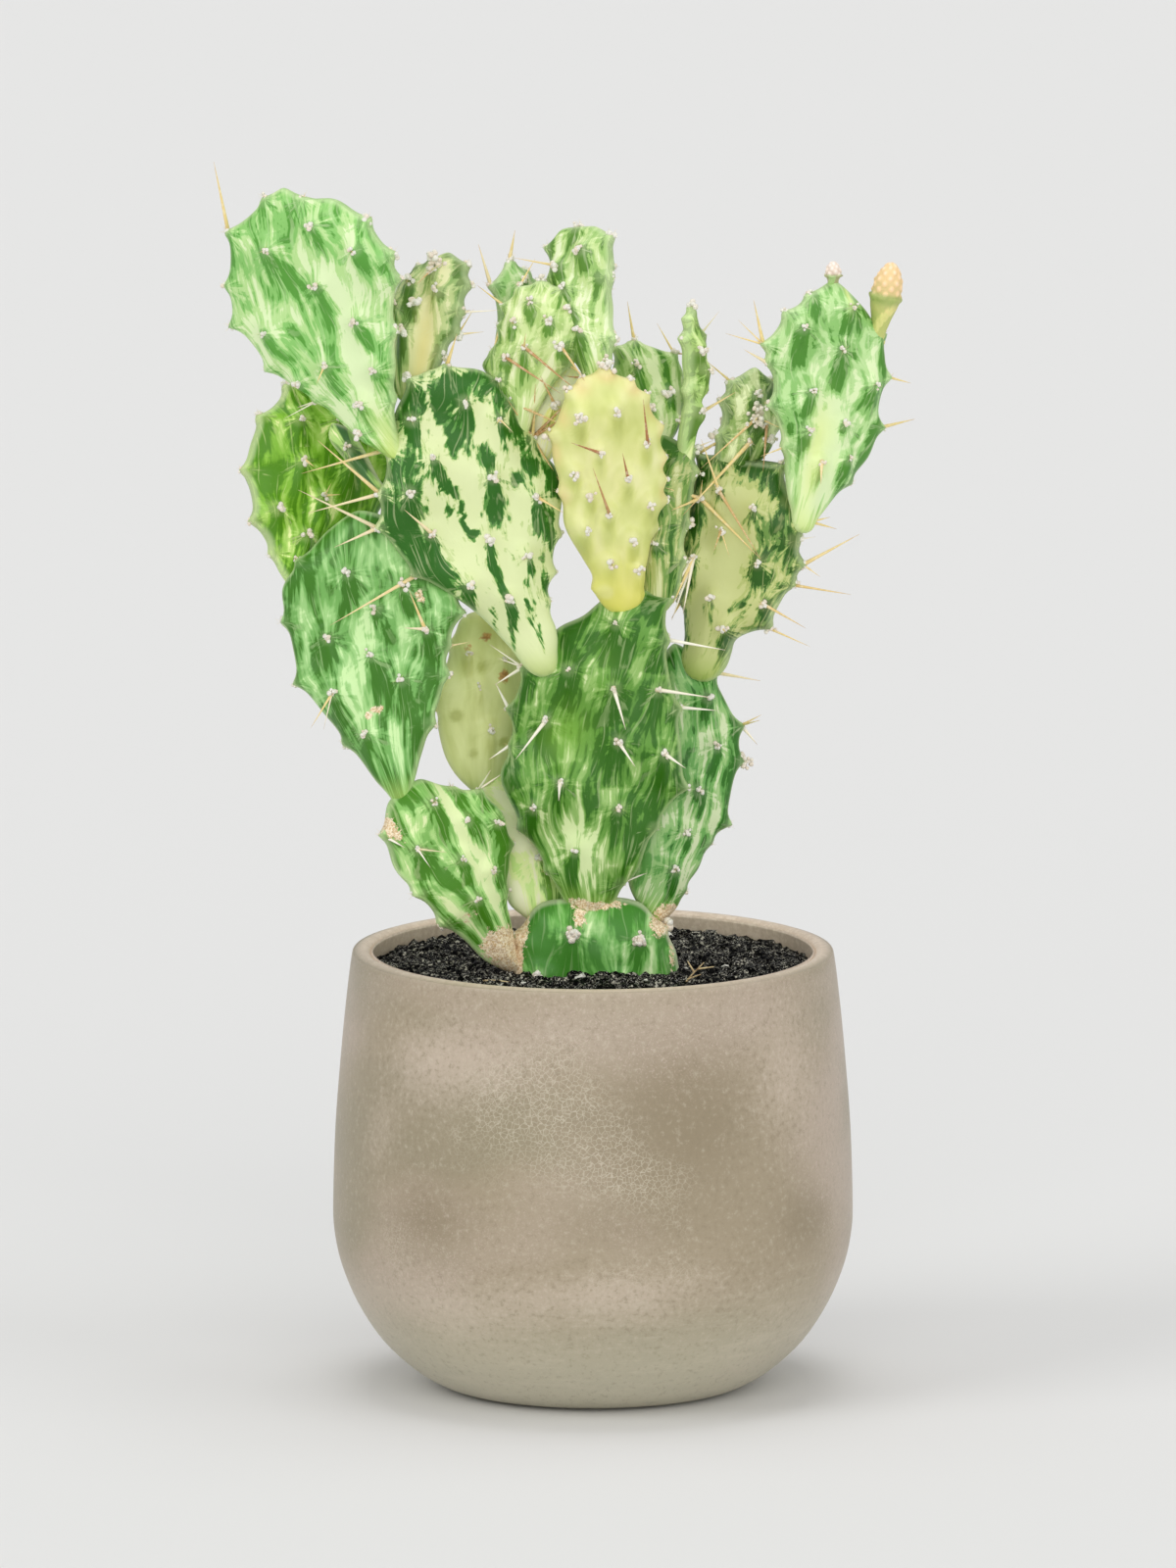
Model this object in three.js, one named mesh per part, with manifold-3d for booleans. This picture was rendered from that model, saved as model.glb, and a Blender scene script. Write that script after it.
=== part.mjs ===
import * as THREE from "three";
import * as BufferGeometryUtils from "three/addons/utils/BufferGeometryUtils.js";
import Module from "manifold-3d";

const wasm = await Module();
wasm.setup();

// Driving dimensions, in millimetres
const potHeight = 136;
const potRimRadius = 74.3;
const potBellyRadius = 80;
const potFootRadius = 41.5;
const potWall = 6.2;
const soilLevel = 129.6;
const seatGap = 0.4;
const tubercleHeight = 1.7;
const areoleSize = 1.75;
const spineRadius = 0.55;
const spineRoot = 2.2;
const aroundPot = 40;

// Pad outlines are drawn on a sheet that is seen from slightly above:
// a point d behind the pot's axis sits sheetDrop * d lower than it is drawn.
const sheetDrop = 0.171;

// Each pad has its joint end (root), its far end (tip) and the left and right edges between them,
// both listed from root to tip. A point is an areole at a corner of the edge; with a third value
// of 0 it is only a bend. "dots" are the areoles of the face. "on" is the pad it grows from, and
// "set" is how far its root stands behind the middle of that pad, or behind the pot's axis for
// the lowest pad. "lean" is the slope backwards along the pad, "turn" the angle in degrees by
// which its right side goes back, "wave" the height, length and phase of its twist, and "grid"
// the rows along and the columns across. "needles" are the long spines: from x, z to x, z, and
// how far the point stands out forwards.
const pads = [
  {
    name: "base_pad", color: 0x3f8a48, set: -18, thick: 21, grid: [10, 7],
    lean: 0, turn: 0, wave: [0, 30, 0], root: [2, 104, 0], tip: [2, 151.5, 0],
    left: [[-15, 107, 0], [-24, 117, 0], [-25, 129, 0], [-24, 140.5], [-17, 149.5, 0], [-8, 151.5, 0]],
    right: [[16, 106, 0], [25, 115, 0], [27, 127], [25.5, 135, 0], [22, 143], [14, 150.5, 0]],
    dots: [[-6.5, 142.5], [14.5, 141], [-16.5, 129.5], [8, 127]],
    needles: [],
  },
  {
    name: "central_pad", color: 0x4c9a4a, on: "base_pad", set: -2, thick: 12.5, grid: [12, 7],
    lean: 0.02, turn: -4, wave: [2, 34, 0.4], root: [-1.5, 145.5, 0], tip: [14, 247.8, 0],
    left: [[-9, 151.5, 0], [-14, 160], [-22.3, 173], [-28.3, 189, 0], [-25, 199.5], [-25.8, 210.5],
      [-21.5, 223.5], [-11.5, 235, 0], [-3, 239.5, 0], [4, 245, 0]],
    right: [[6.5, 150.5, 0], [9, 156.5], [13.5, 160, 0], [19.2, 173.5], [28.7, 186], [27, 198, 0],
      [26.5, 211], [23.2, 222, 0], [22.7, 232], [23.5, 245.5]],
    dots: [[7.5, 238.5], [7, 218], [-14, 208], [8.5, 201.5], [22.8, 197.5], [-9.5, 189], [-17.7, 181],
      [8.5, 181], [-5, 168], [-7, 224], [20.5, 217.5]],
    needles: [[7, 217.5, 10, 204, 7], [8.3, 201.5, 13, 192.5, 6], [-14.5, 207, -23.7, 194.7, 6],
      [-9.5, 188.5, -10.5, 182, 7], [23, 197, 28.3, 192, 7], [22.7, 232, 40.5, 228.7, 6],
      [21, 217.5, 36, 214, 7], [26.5, 211, 38, 210, 3], [-20, 223, -30, 218, 5],
      [-25.8, 210, -29.8, 218.5, 4], [-25, 199.5, -32, 194.7, 3]],
  },
  {
    name: "lower_left_pad", color: 0x58a050, on: "base_pad", set: -1, thick: 13.5, grid: [11, 7],
    lean: -0.1, turn: 18, wave: [1.2, 30, 1], root: [-21.5, 128.5, 0], tip: [-53, 188.7, 0],
    left: [[-32, 131.5, 0], [-39.5, 138.7, 0], [-46.5, 143.5], [-54.3, 153], [-60.5, 160.5, 0],
      [-64.5, 171.5], [-62, 182, 0]],
    right: [[-23.8, 137, 0], [-25.5, 145, 0], [-27, 153.5], [-26, 161, 0], [-25.2, 168.5],
      [-28, 178.5, 0], [-35, 185.5], [-43.5, 186.3]],
    dots: [[-51.5, 182.5], [-41.5, 177], [-31.5, 176.5], [-56.5, 168], [-43, 165], [-33.5, 161],
      [-38.5, 152.5]],
    needles: [[-64.5, 172, -57.5, 167.5, 6]],
  },
  {
    name: "lower_right_pad", color: 0x4f9a55, on: "base_pad", set: 6, thick: 11.5, grid: [12, 6],
    lean: 0.1, turn: 14, wave: [1.2, 32, 2], root: [19, 143.5, 0], tip: [25, 231, 0],
    left: [[14, 149.5, 0], [10.8, 157.5, 0], [11.5, 170, 0], [14, 186], [16, 200, 0], [17.5, 212],
      [20, 224, 0]],
    right: [[25.3, 148.3, 0], [27.5, 153.8], [32.3, 161, 0], [35.5, 168.7], [41.7, 174.5], [42, 183, 0],
      [45.5, 194.5], [45.5, 205.5], [40.5, 213.5, 0], [37, 222], [31, 227.5, 0]],
    dots: [[23, 161.5], [30.5, 186], [33.5, 215], [36, 200], [27, 173]],
    needles: [[37, 222, 51.5, 219.3, 2], [45.5, 205.5, 50.5, 199.5, 1]],
  },
  {
    name: "pale_stem_pad", color: 0xb7d08a, on: "base_pad", set: 5.5, thick: 10, grid: [8, 5],
    lean: 0.22, turn: 20, wave: [0.8, 30, 0], root: [-14.5, 143.5, 0], tip: [-31.5, 190, 0],
    left: [[-24.3, 148.5, 0], [-27.3, 155, 0], [-28.5, 162, 0], [-29, 170, 0], [-31.5, 179, 0],
      [-35.5, 186]],
    right: [[-9.5, 149, 0], [-8.5, 158, 0], [-11, 170], [-15.5, 182, 0], [-23, 189.5, 0]],
    dots: [[-19, 163], [-22, 178]],
    needles: [],
  },
  {
    name: "pale_pad", color: 0xb3bd72, on: "pale_stem_pad", set: 1, thick: 9, grid: [10, 5],
    lean: 0.12, turn: 16, wave: [0.6, 30, 1], root: [-32, 183.5, 0], tip: [-35.5, 241, 0],
    left: [[-39.5, 187.3, 0], [-44.8, 194.5, 0], [-47.5, 204.5, 0], [-47.3, 211], [-49, 217],
      [-45.5, 223, 0], [-43.5, 231], [-40.5, 238.5, 0]],
    right: [[-28, 189, 0], [-23.5, 196, 0], [-20, 207], [-18.5, 218, 0], [-20, 229], [-28, 237.5]],
    dots: [[-33.5, 204], [-37, 218], [-40, 228], [-29, 226]],
    needles: [[-49, 217.5, -59, 216, 2], [-47.3, 211, -56, 204, 2]],
  },
  {
    name: "left_big_pad", color: 0x62a75f, on: "lower_left_pad", set: 0, thick: 12.5, grid: [12, 7],
    lean: 0.16, turn: -10, wave: [1.8, 36, 0.8], root: [-57.5, 181, 0], tip: [-72, 272, 0],
    left: [[-65.2, 186.8, 0], [-75.6, 199.5], [-82.3, 209, 0], [-90.8, 218.3], [-92, 230, 0],
      [-94.6, 237.5], [-95, 248, 0], [-90, 257], [-81, 266, 0]],
    right: [[-54.7, 188.3, 0], [-52.5, 196.5, 0], [-49, 205.5], [-46.8, 214, 0], [-44.5, 221],
      [-44.3, 230], [-39.7, 240], [-43, 251, 0], [-52, 262], [-62, 269.5, 0]],
    dots: [[-79.5, 233], [-78, 215.5], [-66.5, 227.5], [-65, 242], [-73.5, 253], [-57, 220],
      [-49.5, 235.5], [-68, 203.5], [-56, 249]],
    needles: [[-49.5, 235.5, -57.5, 235.5, 4], [-44.3, 230.5, -51, 231.5, 3]],
  },
  {
    name: "left_back_pad", color: 0x6f9a2e, on: "left_big_pad", set: 4, thick: 10, grid: [11, 6],
    lean: 0.28, turn: 28, wave: [1.2, 30, 2], root: [-90, 246.5, 0], tip: [-90, 313, 0],
    left: [[-95.5, 252.7, 0], [-98, 258.5], [-104.3, 268.7], [-104, 276, 0], [-107, 284.7],
      [-104.5, 293, 0], [-102, 301.7], [-96.5, 306, 0], [-94, 311.5]],
    right: [[-86, 254, 0], [-79, 262, 0], [-68, 268], [-62.5, 278, 0], [-60.5, 288], [-65, 298, 0],
      [-75, 306], [-84, 311.5, 0]],
    dots: [[-92, 287], [-99.5, 272], [-91, 264], [-86, 276], [-81, 300], [-77, 286], [-93, 300]],
    needles: [],
  },
  {
    name: "cream_front_pad", color: 0xb9d597, on: "central_pad", set: -5, thick: 12.5, grid: [13, 7],
    lean: 0.06, turn: 8, wave: [1.8, 34, 1.5], root: [-14.5, 220.5, 0], tip: [-34.5, 315.3, 0],
    left: [[-21.5, 225.7, 0], [-27.7, 232, 0], [-34.3, 239, 0], [-43, 245.5, 0], [-54.5, 251.5],
      [-59.5, 259, 0], [-65.8, 266.5], [-65, 277], [-63, 290.7], [-60.5, 302, 0], [-56, 312.7],
      [-50, 315.3, 0], [-44.5, 317]],
    right: [[-11.2, 229, 0], [-11.2, 235, 0], [-14, 243.5], [-12.2, 252.7], [-10.5, 264.5],
      [-9.5, 275, 0], [-10.5, 284, 0], [-18.5, 294.5], [-25, 305.5], [-29.5, 313]],
    dots: [[-56.5, 300.5], [-40, 306], [-29.5, 300.7], [-50, 289], [-31.5, 283], [-18, 276.7],
      [-50.3, 265.5], [-33, 264], [-21, 258.5], [-38.5, 249.5], [-26.5, 245], [-57, 278]],
    needles: [[-65, 277, -84, 293.5, 5], [-65, 276, -87, 271, 4], [-65.8, 267, -90, 278.3, 5],
      [-65.8, 266, -79, 260.5, 3], [-55, 252, -80.3, 236.3, 5], [-50.3, 266, -57.5, 272, 7],
      [-63, 290.7, -89, 283.3, 4], [-18.5, 294.5, -17.5, 303, 6], [-18, 277, -9, 271, 5],
      [-44.5, 316, -41.5, 326.5, 2]],
  },
  {
    name: "top_left_pad", color: 0x8cc97a, on: "cream_front_pad", set: -1, thick: 10.5, grid: [12, 7],
    lean: 0.02, turn: -20, wave: [1.6, 36, 0.2], root: [-58.8, 287.5, 0], tip: [-94.5, 371.3, 0],
    left: [[-67, 291.7, 0], [-75, 297.7, 0], [-84, 306], [-92, 311.3, 0], [-99.2, 315.5], [-104, 324, 0],
      [-110.3, 329.3], [-111.5, 342], [-111.3, 358.5], [-99.7, 368.5]],
    right: [[-59.7, 295, 0], [-60.8, 306], [-60.3, 316, 0], [-60.3, 327], [-60.9, 335, 0],
      [-59.2, 342.8], [-61, 350.7], [-68.5, 361.7], [-78.5, 367.6, 0], [-88, 368.2]],
    dots: [[-97, 354.5], [-83.5, 362], [-70.5, 354], [-81.5, 343.5], [-98, 329], [-70, 332],
      [-79, 318.7], [-64.5, 317], [-68.5, 307], [-69, 297.3], [-88, 313]],
    needles: [[-111.3, 358.5, -115.5, 379.5, 2]],
  },
  {
    name: "narrow_left_pad", color: 0x8fa79b, on: "cream_front_pad", set: 2, thick: 6, grid: [6, 4],
    lean: 0.5, turn: 0, wave: [0, 30, 0], root: [-62.5, 276, 0], tip: [-79.5, 299, 0],
    left: [[-70, 281, 0], [-76, 288, 0], [-80.5, 294, 0]],
    right: [[-66, 283, 0], [-70, 291, 0], [-74, 297, 0]],
    dots: [[-73.5, 290]],
    needles: [],
  },
  {
    name: "yellow_pad", color: 0xdde08a, on: "central_pad", set: -3, thick: 10, grid: [11, 6],
    lean: -0.12, turn: 12, wave: [0.9, 28, 1], root: [9.3, 240, 0], tip: [3.5, 316.3],
    left: [[2.7, 247.8], [-3, 256.8, 0], [-8.6, 267, 0], [-9.8, 277.5], [-12.3, 288, 0], [-12.8, 295.5],
      [-9.7, 303, 0], [-7.7, 309], [-3.2, 312.7]],
    right: [[13, 247.5, 0], [16.5, 257, 0], [19, 266.5], [22, 275], [21.5, 281.5], [21.7, 288.5],
      [20.7, 298], [16.3, 307.7], [11.3, 312.3]],
    dots: [[5.5, 304.5], [-5.5, 302.5], [14.7, 295], [0.3, 292], [8.7, 284], [-7, 285], [16, 276],
      [3, 273], [-2.7, 279], [10.7, 265], [3.7, 258], [12.5, 255.5], [-4, 268]],
    needles: [[0, 292, -6.7, 292.5, 5], [3.3, 273, 0, 284.7, 7], [9.3, 283.5, 9, 289.3, 7],
      [15.2, 295, 15.3, 306, 6]],
  },
  {
    name: "upper_pale_pad", color: 0xb5d796, on: "cream_front_pad", set: -0.5, thick: 8.5, grid: [10, 6],
    lean: 0.06, turn: -16, wave: [0.9, 26, 2], root: [-22, 293.5, 0], tip: [-15.5, 343.3],
    left: [[-26, 303, 0], [-30, 311, 0], [-33.8, 317, 0], [-30.5, 321.3], [-28.3, 329], [-27.3, 335.5],
      [-22.5, 341.3]],
    right: [[-17.5, 301.5, 0], [-13, 309.5, 0], [-7, 316.7], [-0.7, 325.3], [-2.2, 334], [-8.7, 340.7]],
    dots: [[-17.5, 337.3], [-11.5, 331.5], [-22.5, 331], [-8, 323.3], [-19, 323], [-25, 320], [-27, 313]],
    needles: [[-28.3, 329, -31, 319.5, 3]],
  },
  {
    name: "back_tip_pad", color: 0x5aa54e, on: "cream_front_pad", set: 5, thick: 7, grid: [8, 5],
    lean: 0.3, turn: 28, wave: [0.6, 26, 0], root: [-26.5, 304, 0], tip: [-25.5, 350],
    left: [[-29.5, 314, 0], [-29.7, 324, 0], [-29, 333, 0], [-31.2, 341.7], [-28, 346, 0]],
    right: [[-21, 311, 0], [-17, 320], [-15.5, 332, 0], [-17.3, 342.5], [-20.5, 346.3]],
    dots: [[-24, 343]],
    needles: [[-25.5, 349.5, -23.8, 359, 1], [-31.2, 341.7, -35, 354.5, 1]],
  },
  {
    name: "olive_pad", color: 0xb6bb7d, on: "cream_front_pad", set: 3, thick: 6, grid: [6, 4],
    lean: 0.1, turn: 0, wave: [0, 26, 0], root: [-17.8, 284, 0], tip: [-7, 319, 0],
    left: [[-20, 292.5, 0], [-20, 301, 0], [-14.5, 311]],
    right: [[-10, 292, 0], [-6.5, 301, 0], [-3.5, 311, 0]],
    dots: [[-12, 305.5]],
    needles: [[-12, 306, -16, 313.5, 4]],
  },
  {
    name: "narrow_top_pad", color: 0x9fcf8c, on: "yellow_pad", set: 4, thick: 9, grid: [10, 5],
    lean: 0.3, turn: -32, wave: [0.8, 24, 0.5], root: [1, 306, 0], tip: [-4, 360],
    left: [[-3.5, 315, 0], [-8, 322, 0], [-11.5, 331], [-12.7, 343.7], [-13.8, 353.5], [-9.3, 359, 0]],
    right: [[5, 316, 0], [6.3, 325], [5.7, 335, 0], [5, 343.7], [5.8, 350, 0], [5.5, 356.8],
      [1, 359.8, 0]],
    dots: [[-7.5, 347.3], [0, 352.5], [-4.5, 340.5], [-2, 334], [0, 327.5]],
    needles: [],
  },
  {
    name: "twisted_pad", color: 0x6d9a4d, on: "cream_front_pad", set: 4, thick: 11, grid: [10, 6],
    lean: 0.2, turn: -26, wave: [1, 22, 1], root: [-54, 304, 0], tip: [-44, 352, 0],
    left: [[-60.7, 308.5, 0], [-61.3, 318, 0], [-61.3, 327.3], [-60.8, 336, 0], [-58.8, 342.5, 0],
      [-53, 347.8], [-48.5, 350]],
    right: [[-47.5, 310, 0], [-46.3, 320.5], [-41.2, 326.5], [-40.2, 333.3], [-37.9, 341.8],
      [-38.7, 348.3]],
    dots: [[-57.7, 335.3], [-54.3, 326.7], [-50.2, 335], [-52.7, 342.3], [-45.7, 345], [-44.3, 339.3],
      [-45, 348.5]],
    needles: [],
  },
  {
    name: "tall_back_pad", color: 0x4d9442, on: "central_pad", set: 3, thick: 10, grid: [10, 6],
    lean: 0.16, turn: -18, wave: [1, 28, 1], root: [18.5, 238.5, 0], tip: [19, 297, 0],
    left: [[13.5, 247, 0], [9.5, 256], [7, 268], [7.5, 280], [10.5, 291]],
    right: [[26.3, 246.5, 0], [28, 256.3], [29, 267.8], [30.5, 276, 0], [31.7, 284], [31, 291.5]],
    dots: [[21.5, 262], [16, 272], [22, 279], [15, 286]],
    needles: [],
  },
  {
    name: "upper_back_pad", color: 0x4f9a52, on: "tall_back_pad", set: 1, thick: 9, grid: [9, 6],
    lean: 0.14, turn: 14, wave: [1, 24, 2], root: [18, 287.5, 0], tip: [12.5, 325.3],
    left: [[12.5, 294, 0], [8, 303, 0], [5, 313], [6.7, 323]],
    right: [[23.5, 293, 0], [27, 300, 0], [28.2, 308.5], [27.5, 315.5, 0], [24.8, 321], [18.5, 322.8, 0]],
    dots: [[11.7, 317.3], [21.7, 308.3], [25, 299.8], [16, 304]],
    needles: [[12, 325, 10.5, 337, 1], [6.7, 323.5, 0.5, 340, 2]],
  },
  {
    name: "edge_pad", color: 0x93c95f, on: "tall_back_pad", set: 1, thick: 6, grid: [9, 5],
    lean: 0.02, turn: 45, wave: [0, 26, 0], root: [28, 281, 0], tip: [30.2, 335.3],
    left: [[26.5, 292, 0], [27.7, 301, 0], [28.7, 309], [28, 317, 0], [27.6, 325], [28.8, 331]],
    right: [[30, 291.5, 0], [31.7, 301.7], [33.5, 309.7], [34, 318, 0], [33, 326.7]],
    dots: [[31.5, 316.5], [29.7, 323], [29.7, 303.5]],
    needles: [[32, 302.3, 43.5, 308.7, 2]],
  },
  {
    name: "cream_right_pad", color: 0xaac97f, on: "lower_right_pad", set: -4, thick: 12, grid: [12, 7],
    lean: -0.02, turn: -18, wave: [1.2, 30, 0], root: [33, 219, 0], tip: [47, 286.7, 0],
    left: [[29.7, 226.5, 0], [28.3, 236, 0], [27.3, 244.5], [25.7, 256], [26.7, 266, 0], [28.5, 277],
      [32.5, 290], [39, 289.5]],
    right: [[40, 227.3, 0], [44.5, 232.7, 0], [54, 235.5], [57.3, 243.5, 0], [61.2, 249], [64.3, 255.3],
      [62.5, 263], [66.7, 268.5], [60.7, 275.5], [58, 286.5]],
    dots: [[33.5, 258.7], [35.5, 277], [41.5, 279], [52, 274], [42, 267], [53, 257], [39, 246],
      [42.3, 236.3], [54.3, 244]],
    needles: [[64.3, 256, 81.5, 264.7, 3], [61.2, 248.3, 79, 246, 3], [66.7, 268.5, 74.5, 266.3, 2],
      [66.7, 268.7, 72.5, 270, 0], [54.5, 243.7, 65, 235.5, 4], [36, 277, 51.3, 257, 7],
      [33, 258.5, 24.5, 243, 6], [29.2, 244.5, 24, 238.5, 4], [33.5, 287.5, 45, 297.5, 4]],
  },
  {
    name: "small_right_pad", color: 0x9abf82, on: "cream_right_pad", set: 2, thick: 8.5, grid: [8, 5],
    lean: 0.2, turn: 26, wave: [0.7, 22, 0], root: [43.3, 282, 0], tip: [49.7, 316.7, 0],
    left: [[37.6, 288, 0], [38.4, 295.5], [40, 300.5, 0], [39.3, 306], [42, 312.3]],
    right: [[49, 285.7, 0], [54, 291.3, 0], [56.5, 298.5], [56.5, 306, 0], [54, 312.7]],
    dots: [[46.3, 301.3], [46.7, 308.7], [44, 293.5], [49.3, 299.5], [51, 294.3]],
    needles: [],
  },
  {
    name: "top_right_pad", color: 0x97cf85, on: "cream_right_pad", set: -2, thick: 9.5, grid: [13, 7],
    lean: 0.1, turn: 20, wave: [1.4, 32, 1], root: [63.8, 265, 0], tip: [73.5, 343.3, 0],
    left: [[60.3, 273.5, 0], [58.8, 283, 0], [58.3, 291.5], [56.7, 298.5, 0], [53.8, 304.3],
      [55.3, 311, 0], [53.5, 317.5], [52, 323.3], [59, 333.3], [66.3, 339]],
    right: [[69.3, 270.5, 0], [78, 280.5], [84, 288.7, 0], [88.4, 298], [87.2, 304.5, 0], [90.3, 313.5],
      [89, 321, 0], [88.8, 327], [82, 335.7, 0]],
    dots: [[76.5, 336], [61.5, 329.5], [73, 322.7], [83.5, 312], [64, 310], [63, 297.5], [66.5, 287.7],
      [75.3, 289.3], [74, 300]],
    needles: [[90.3, 313.3, 97.3, 311.5, 2], [88.4, 298, 98.5, 300.5, 1], [52, 324, 49, 337, 1],
      [53.5, 317.5, 46, 321.7, 2], [60.5, 275, 69.5, 280, 5]],
  },
];

// Young growth on the top right pad: a tall peach bud and a round green one
const buds = [
  { name: "peach_bud", color: 0xe6c08a, on: "top_right_pad", set: 0,
    root: [86.3, 323], tip: [91.6, 349], girth: [2.6, 2.5, 3.3, 4.4, 4.9, 4.8, 3.2] },
  { name: "knob_bud", color: 0x9cc878, on: "top_right_pad", set: 0,
    root: [73.3, 338], tip: [73.4, 349.2], girth: [2.1, 1.9, 1.7, 1.9, 2.6, 2.5, 1.6] },
];

function chance(seed) {
  const value = Math.sin(seed * 12.9898) * 43758.5453;
  return value - Math.floor(value);
}

function toSolid(geometry) {
  const bare = new THREE.BufferGeometry();
  bare.setAttribute("position", geometry.attributes.position);
  if (geometry.index) bare.setIndex(geometry.index);
  const merged = BufferGeometryUtils.mergeVertices(bare, 1e-4);
  return new wasm.Manifold(new wasm.Mesh({
    numProp: 3,
    vertProperties: new Float32Array(merged.attributes.position.array),
    triVerts: new Uint32Array(merged.index.array),
  }));
}

// A solid of points and faces; its faces are turned outwards, and "grow" moves them out
function solidFrom(points, faces, grow = 0) {
  const cross = new THREE.Vector3();
  let volume = 0;
  for (const [i, j, k] of faces) volume += points[i].dot(cross.crossVectors(points[j], points[k]));
  const outward = faces.map(([i, j, k]) => (volume > 0 ? [i, j, k] : [i, k, j]));
  const normals = points.map(() => new THREE.Vector3());
  for (const [i, j, k] of outward) {
    cross.crossVectors(points[j].clone().sub(points[i]), points[k].clone().sub(points[i])).normalize();
    for (const n of [i, j, k]) normals[n].add(cross);
  }
  const moved = points.map((point, n) => point.clone().addScaledVector(normals[n].normalize(), grow));
  return new wasm.Manifold(new wasm.Mesh({
    numProp: 3,
    vertProperties: new Float32Array(moved.flatMap((point) => [point.x, point.y, point.z])),
    triVerts: new Uint32Array(outward.flat()),
  }));
}

function biggest(solid) {
  const pieces = solid.decompose();
  pieces.sort((one, other) => other.volume() - one.volume());
  return pieces[0];
}

// A pad's own axes on the sheet, and its slopes in depth
function placePad(pad) {
  const along = new THREE.Vector2(pad.tip[0] - pad.root[0], pad.tip[1] - pad.root[1]);
  pad.length = along.length();
  along.normalize();
  const across = new THREE.Vector2(along.y, -along.x);
  const side = Math.tan(THREE.MathUtils.degToRad(pad.turn));
  pad.along = along;
  pad.across = across;
  pad.slopeX = along.x * pad.lean + across.x * side;
  pad.slopeZ = along.y * pad.lean + across.y * side;
  pad.normal = new THREE.Vector3(pad.slopeX, -(1 - sheetDrop * pad.slopeZ), pad.slopeZ).normalize();
}

function depthAt(pad, x, z) {
  const dx = x - pad.root[0];
  const dz = z - pad.root[1];
  const v = dx * pad.along.x + dz * pad.along.y;
  const u = dx * pad.across.x + dz * pad.across.y;
  const [height, length, phase] = pad.wave;
  const calm = Math.min(1, Math.max(0, v / 14));
  const wave = height * calm * Math.sin((2 * Math.PI * v) / length + phase) * (0.35 + Math.abs(u) / 26)
    * Math.sign(u + 0.001) * Math.min(1, Math.abs(u) / 6);
  return pad.depth + dx * pad.slopeX + dz * pad.slopeZ + wave;
}

function lift(pad, x, z, out) {
  const y = depthAt(pad, x, z);
  return new THREE.Vector3(x, y, z - sheetDrop * y).addScaledVector(pad.normal, out);
}

// The edge between two listed points: it runs in a hollow from areole to areole
function edgeCurve(points, index, t) {
  const p0 = points[index];
  const p1 = points[index + 1];
  const dx = p1[0] - p0[0];
  const dz = p1[1] - p0[1];
  const hollow = 0.26;
  const inward = points.side > 0 ? [dz * hollow, -dx * hollow] : [-dz * hollow, dx * hollow];
  const smooth = (before, after) => [(after[0] - before[0]) / 2, (after[1] - before[1]) / 2];
  let m0 = [dx + inward[0], dz + inward[1]];
  let m1 = [dx - inward[0], dz - inward[1]];
  if (p0[2] === 0 && index > 0) m0 = smooth(points[index - 1], p1);
  if (p0[2] === 0 && index === 0) m0 = [dx * 0.4 - inward[0] * 2, dz * 0.4 - inward[1] * 2];
  if (p1[2] === 0 && index < points.length - 2) m1 = smooth(p0, points[index + 2]);
  if (p1[2] === 0 && index === points.length - 2) m1 = [dx * 0.6 + inward[0], dz * 0.6 + inward[1]];
  const t2 = t * t;
  const t3 = t2 * t;
  const h = [2 * t3 - 3 * t2 + 1, t3 - 2 * t2 + t, -2 * t3 + 3 * t2, t3 - t2];
  return [0, 1].map((k) => h[0] * p0[k] + h[1] * m0[k] + h[2] * p1[k] + h[3] * m1[k]);
}

// One point of the edge for each row; the corners fall on rows of their own
function edgeRows(points, rows) {
  const runs = [0];
  for (let i = 1; i < points.length; i += 1) {
    runs.push(runs[i - 1] + Math.hypot(points[i][0] - points[i - 1][0], points[i][1] - points[i - 1][1]));
  }
  const last = points.length - 1;
  const pins = points.map((point, i) => Math.round((runs[i] / runs[last]) * rows));
  pins[0] = 0;
  pins[last] = rows;
  for (let i = 1; i < last; i += 1) pins[i] = Math.max(pins[i], pins[i - 1] + 1);
  for (let i = last - 1; i > 0; i -= 1) pins[i] = Math.min(pins[i], pins[i + 1] - 1);
  const found = [];
  for (let i = 0; i < last; i += 1) {
    for (let row = pins[i]; row < pins[i + 1]; row += 1) {
      found.push(edgeCurve(points, i, (row - pins[i]) / (pins[i + 1] - pins[i])));
    }
  }
  found.push(points[last].slice(0, 2));
  return found;
}

function edgeDistance(loop, x, z) {
  let best = Infinity;
  for (let i = 0; i < loop.length; i += 1) {
    const [ax, az] = loop[i];
    const [bx, bz] = loop[(i + 1) % loop.length];
    const ex = bx - ax;
    const ez = bz - az;
    const t = Math.min(1, Math.max(0, ((x - ax) * ex + (z - az) * ez) / (ex * ex + ez * ez || 1)));
    best = Math.min(best, Math.hypot(x - ax - ex * t, z - az - ez * t));
  }
  return best;
}

// How far the face stands out from the middle of the pad: the rounded body,
// and on it the tubercles, each of which rises to its areole and runs out down the pad
function rise(pad, spots, x, z) {
  const inside = Math.min(1, edgeDistance(pad.loop, x, z) / pad.rounding);
  const body = (pad.thick / 2) * (1 - (1 - inside) ** 2.2) ** (1 / 2.2);
  let tubercle = 0;
  for (const [sx, sz] of spots) {
    const dx = x - sx;
    const dz = z - sz;
    const v = dx * pad.along.x + dz * pad.along.y;
    const u = dx * pad.across.x + dz * pad.across.y;
    tubercle = Math.max(tubercle, Math.exp(-((u / 3.4) ** 2) - (v / (v > 0 ? 3 : 8)) ** 2));
  }
  return body + tubercleHeight * tubercle;
}

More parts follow.
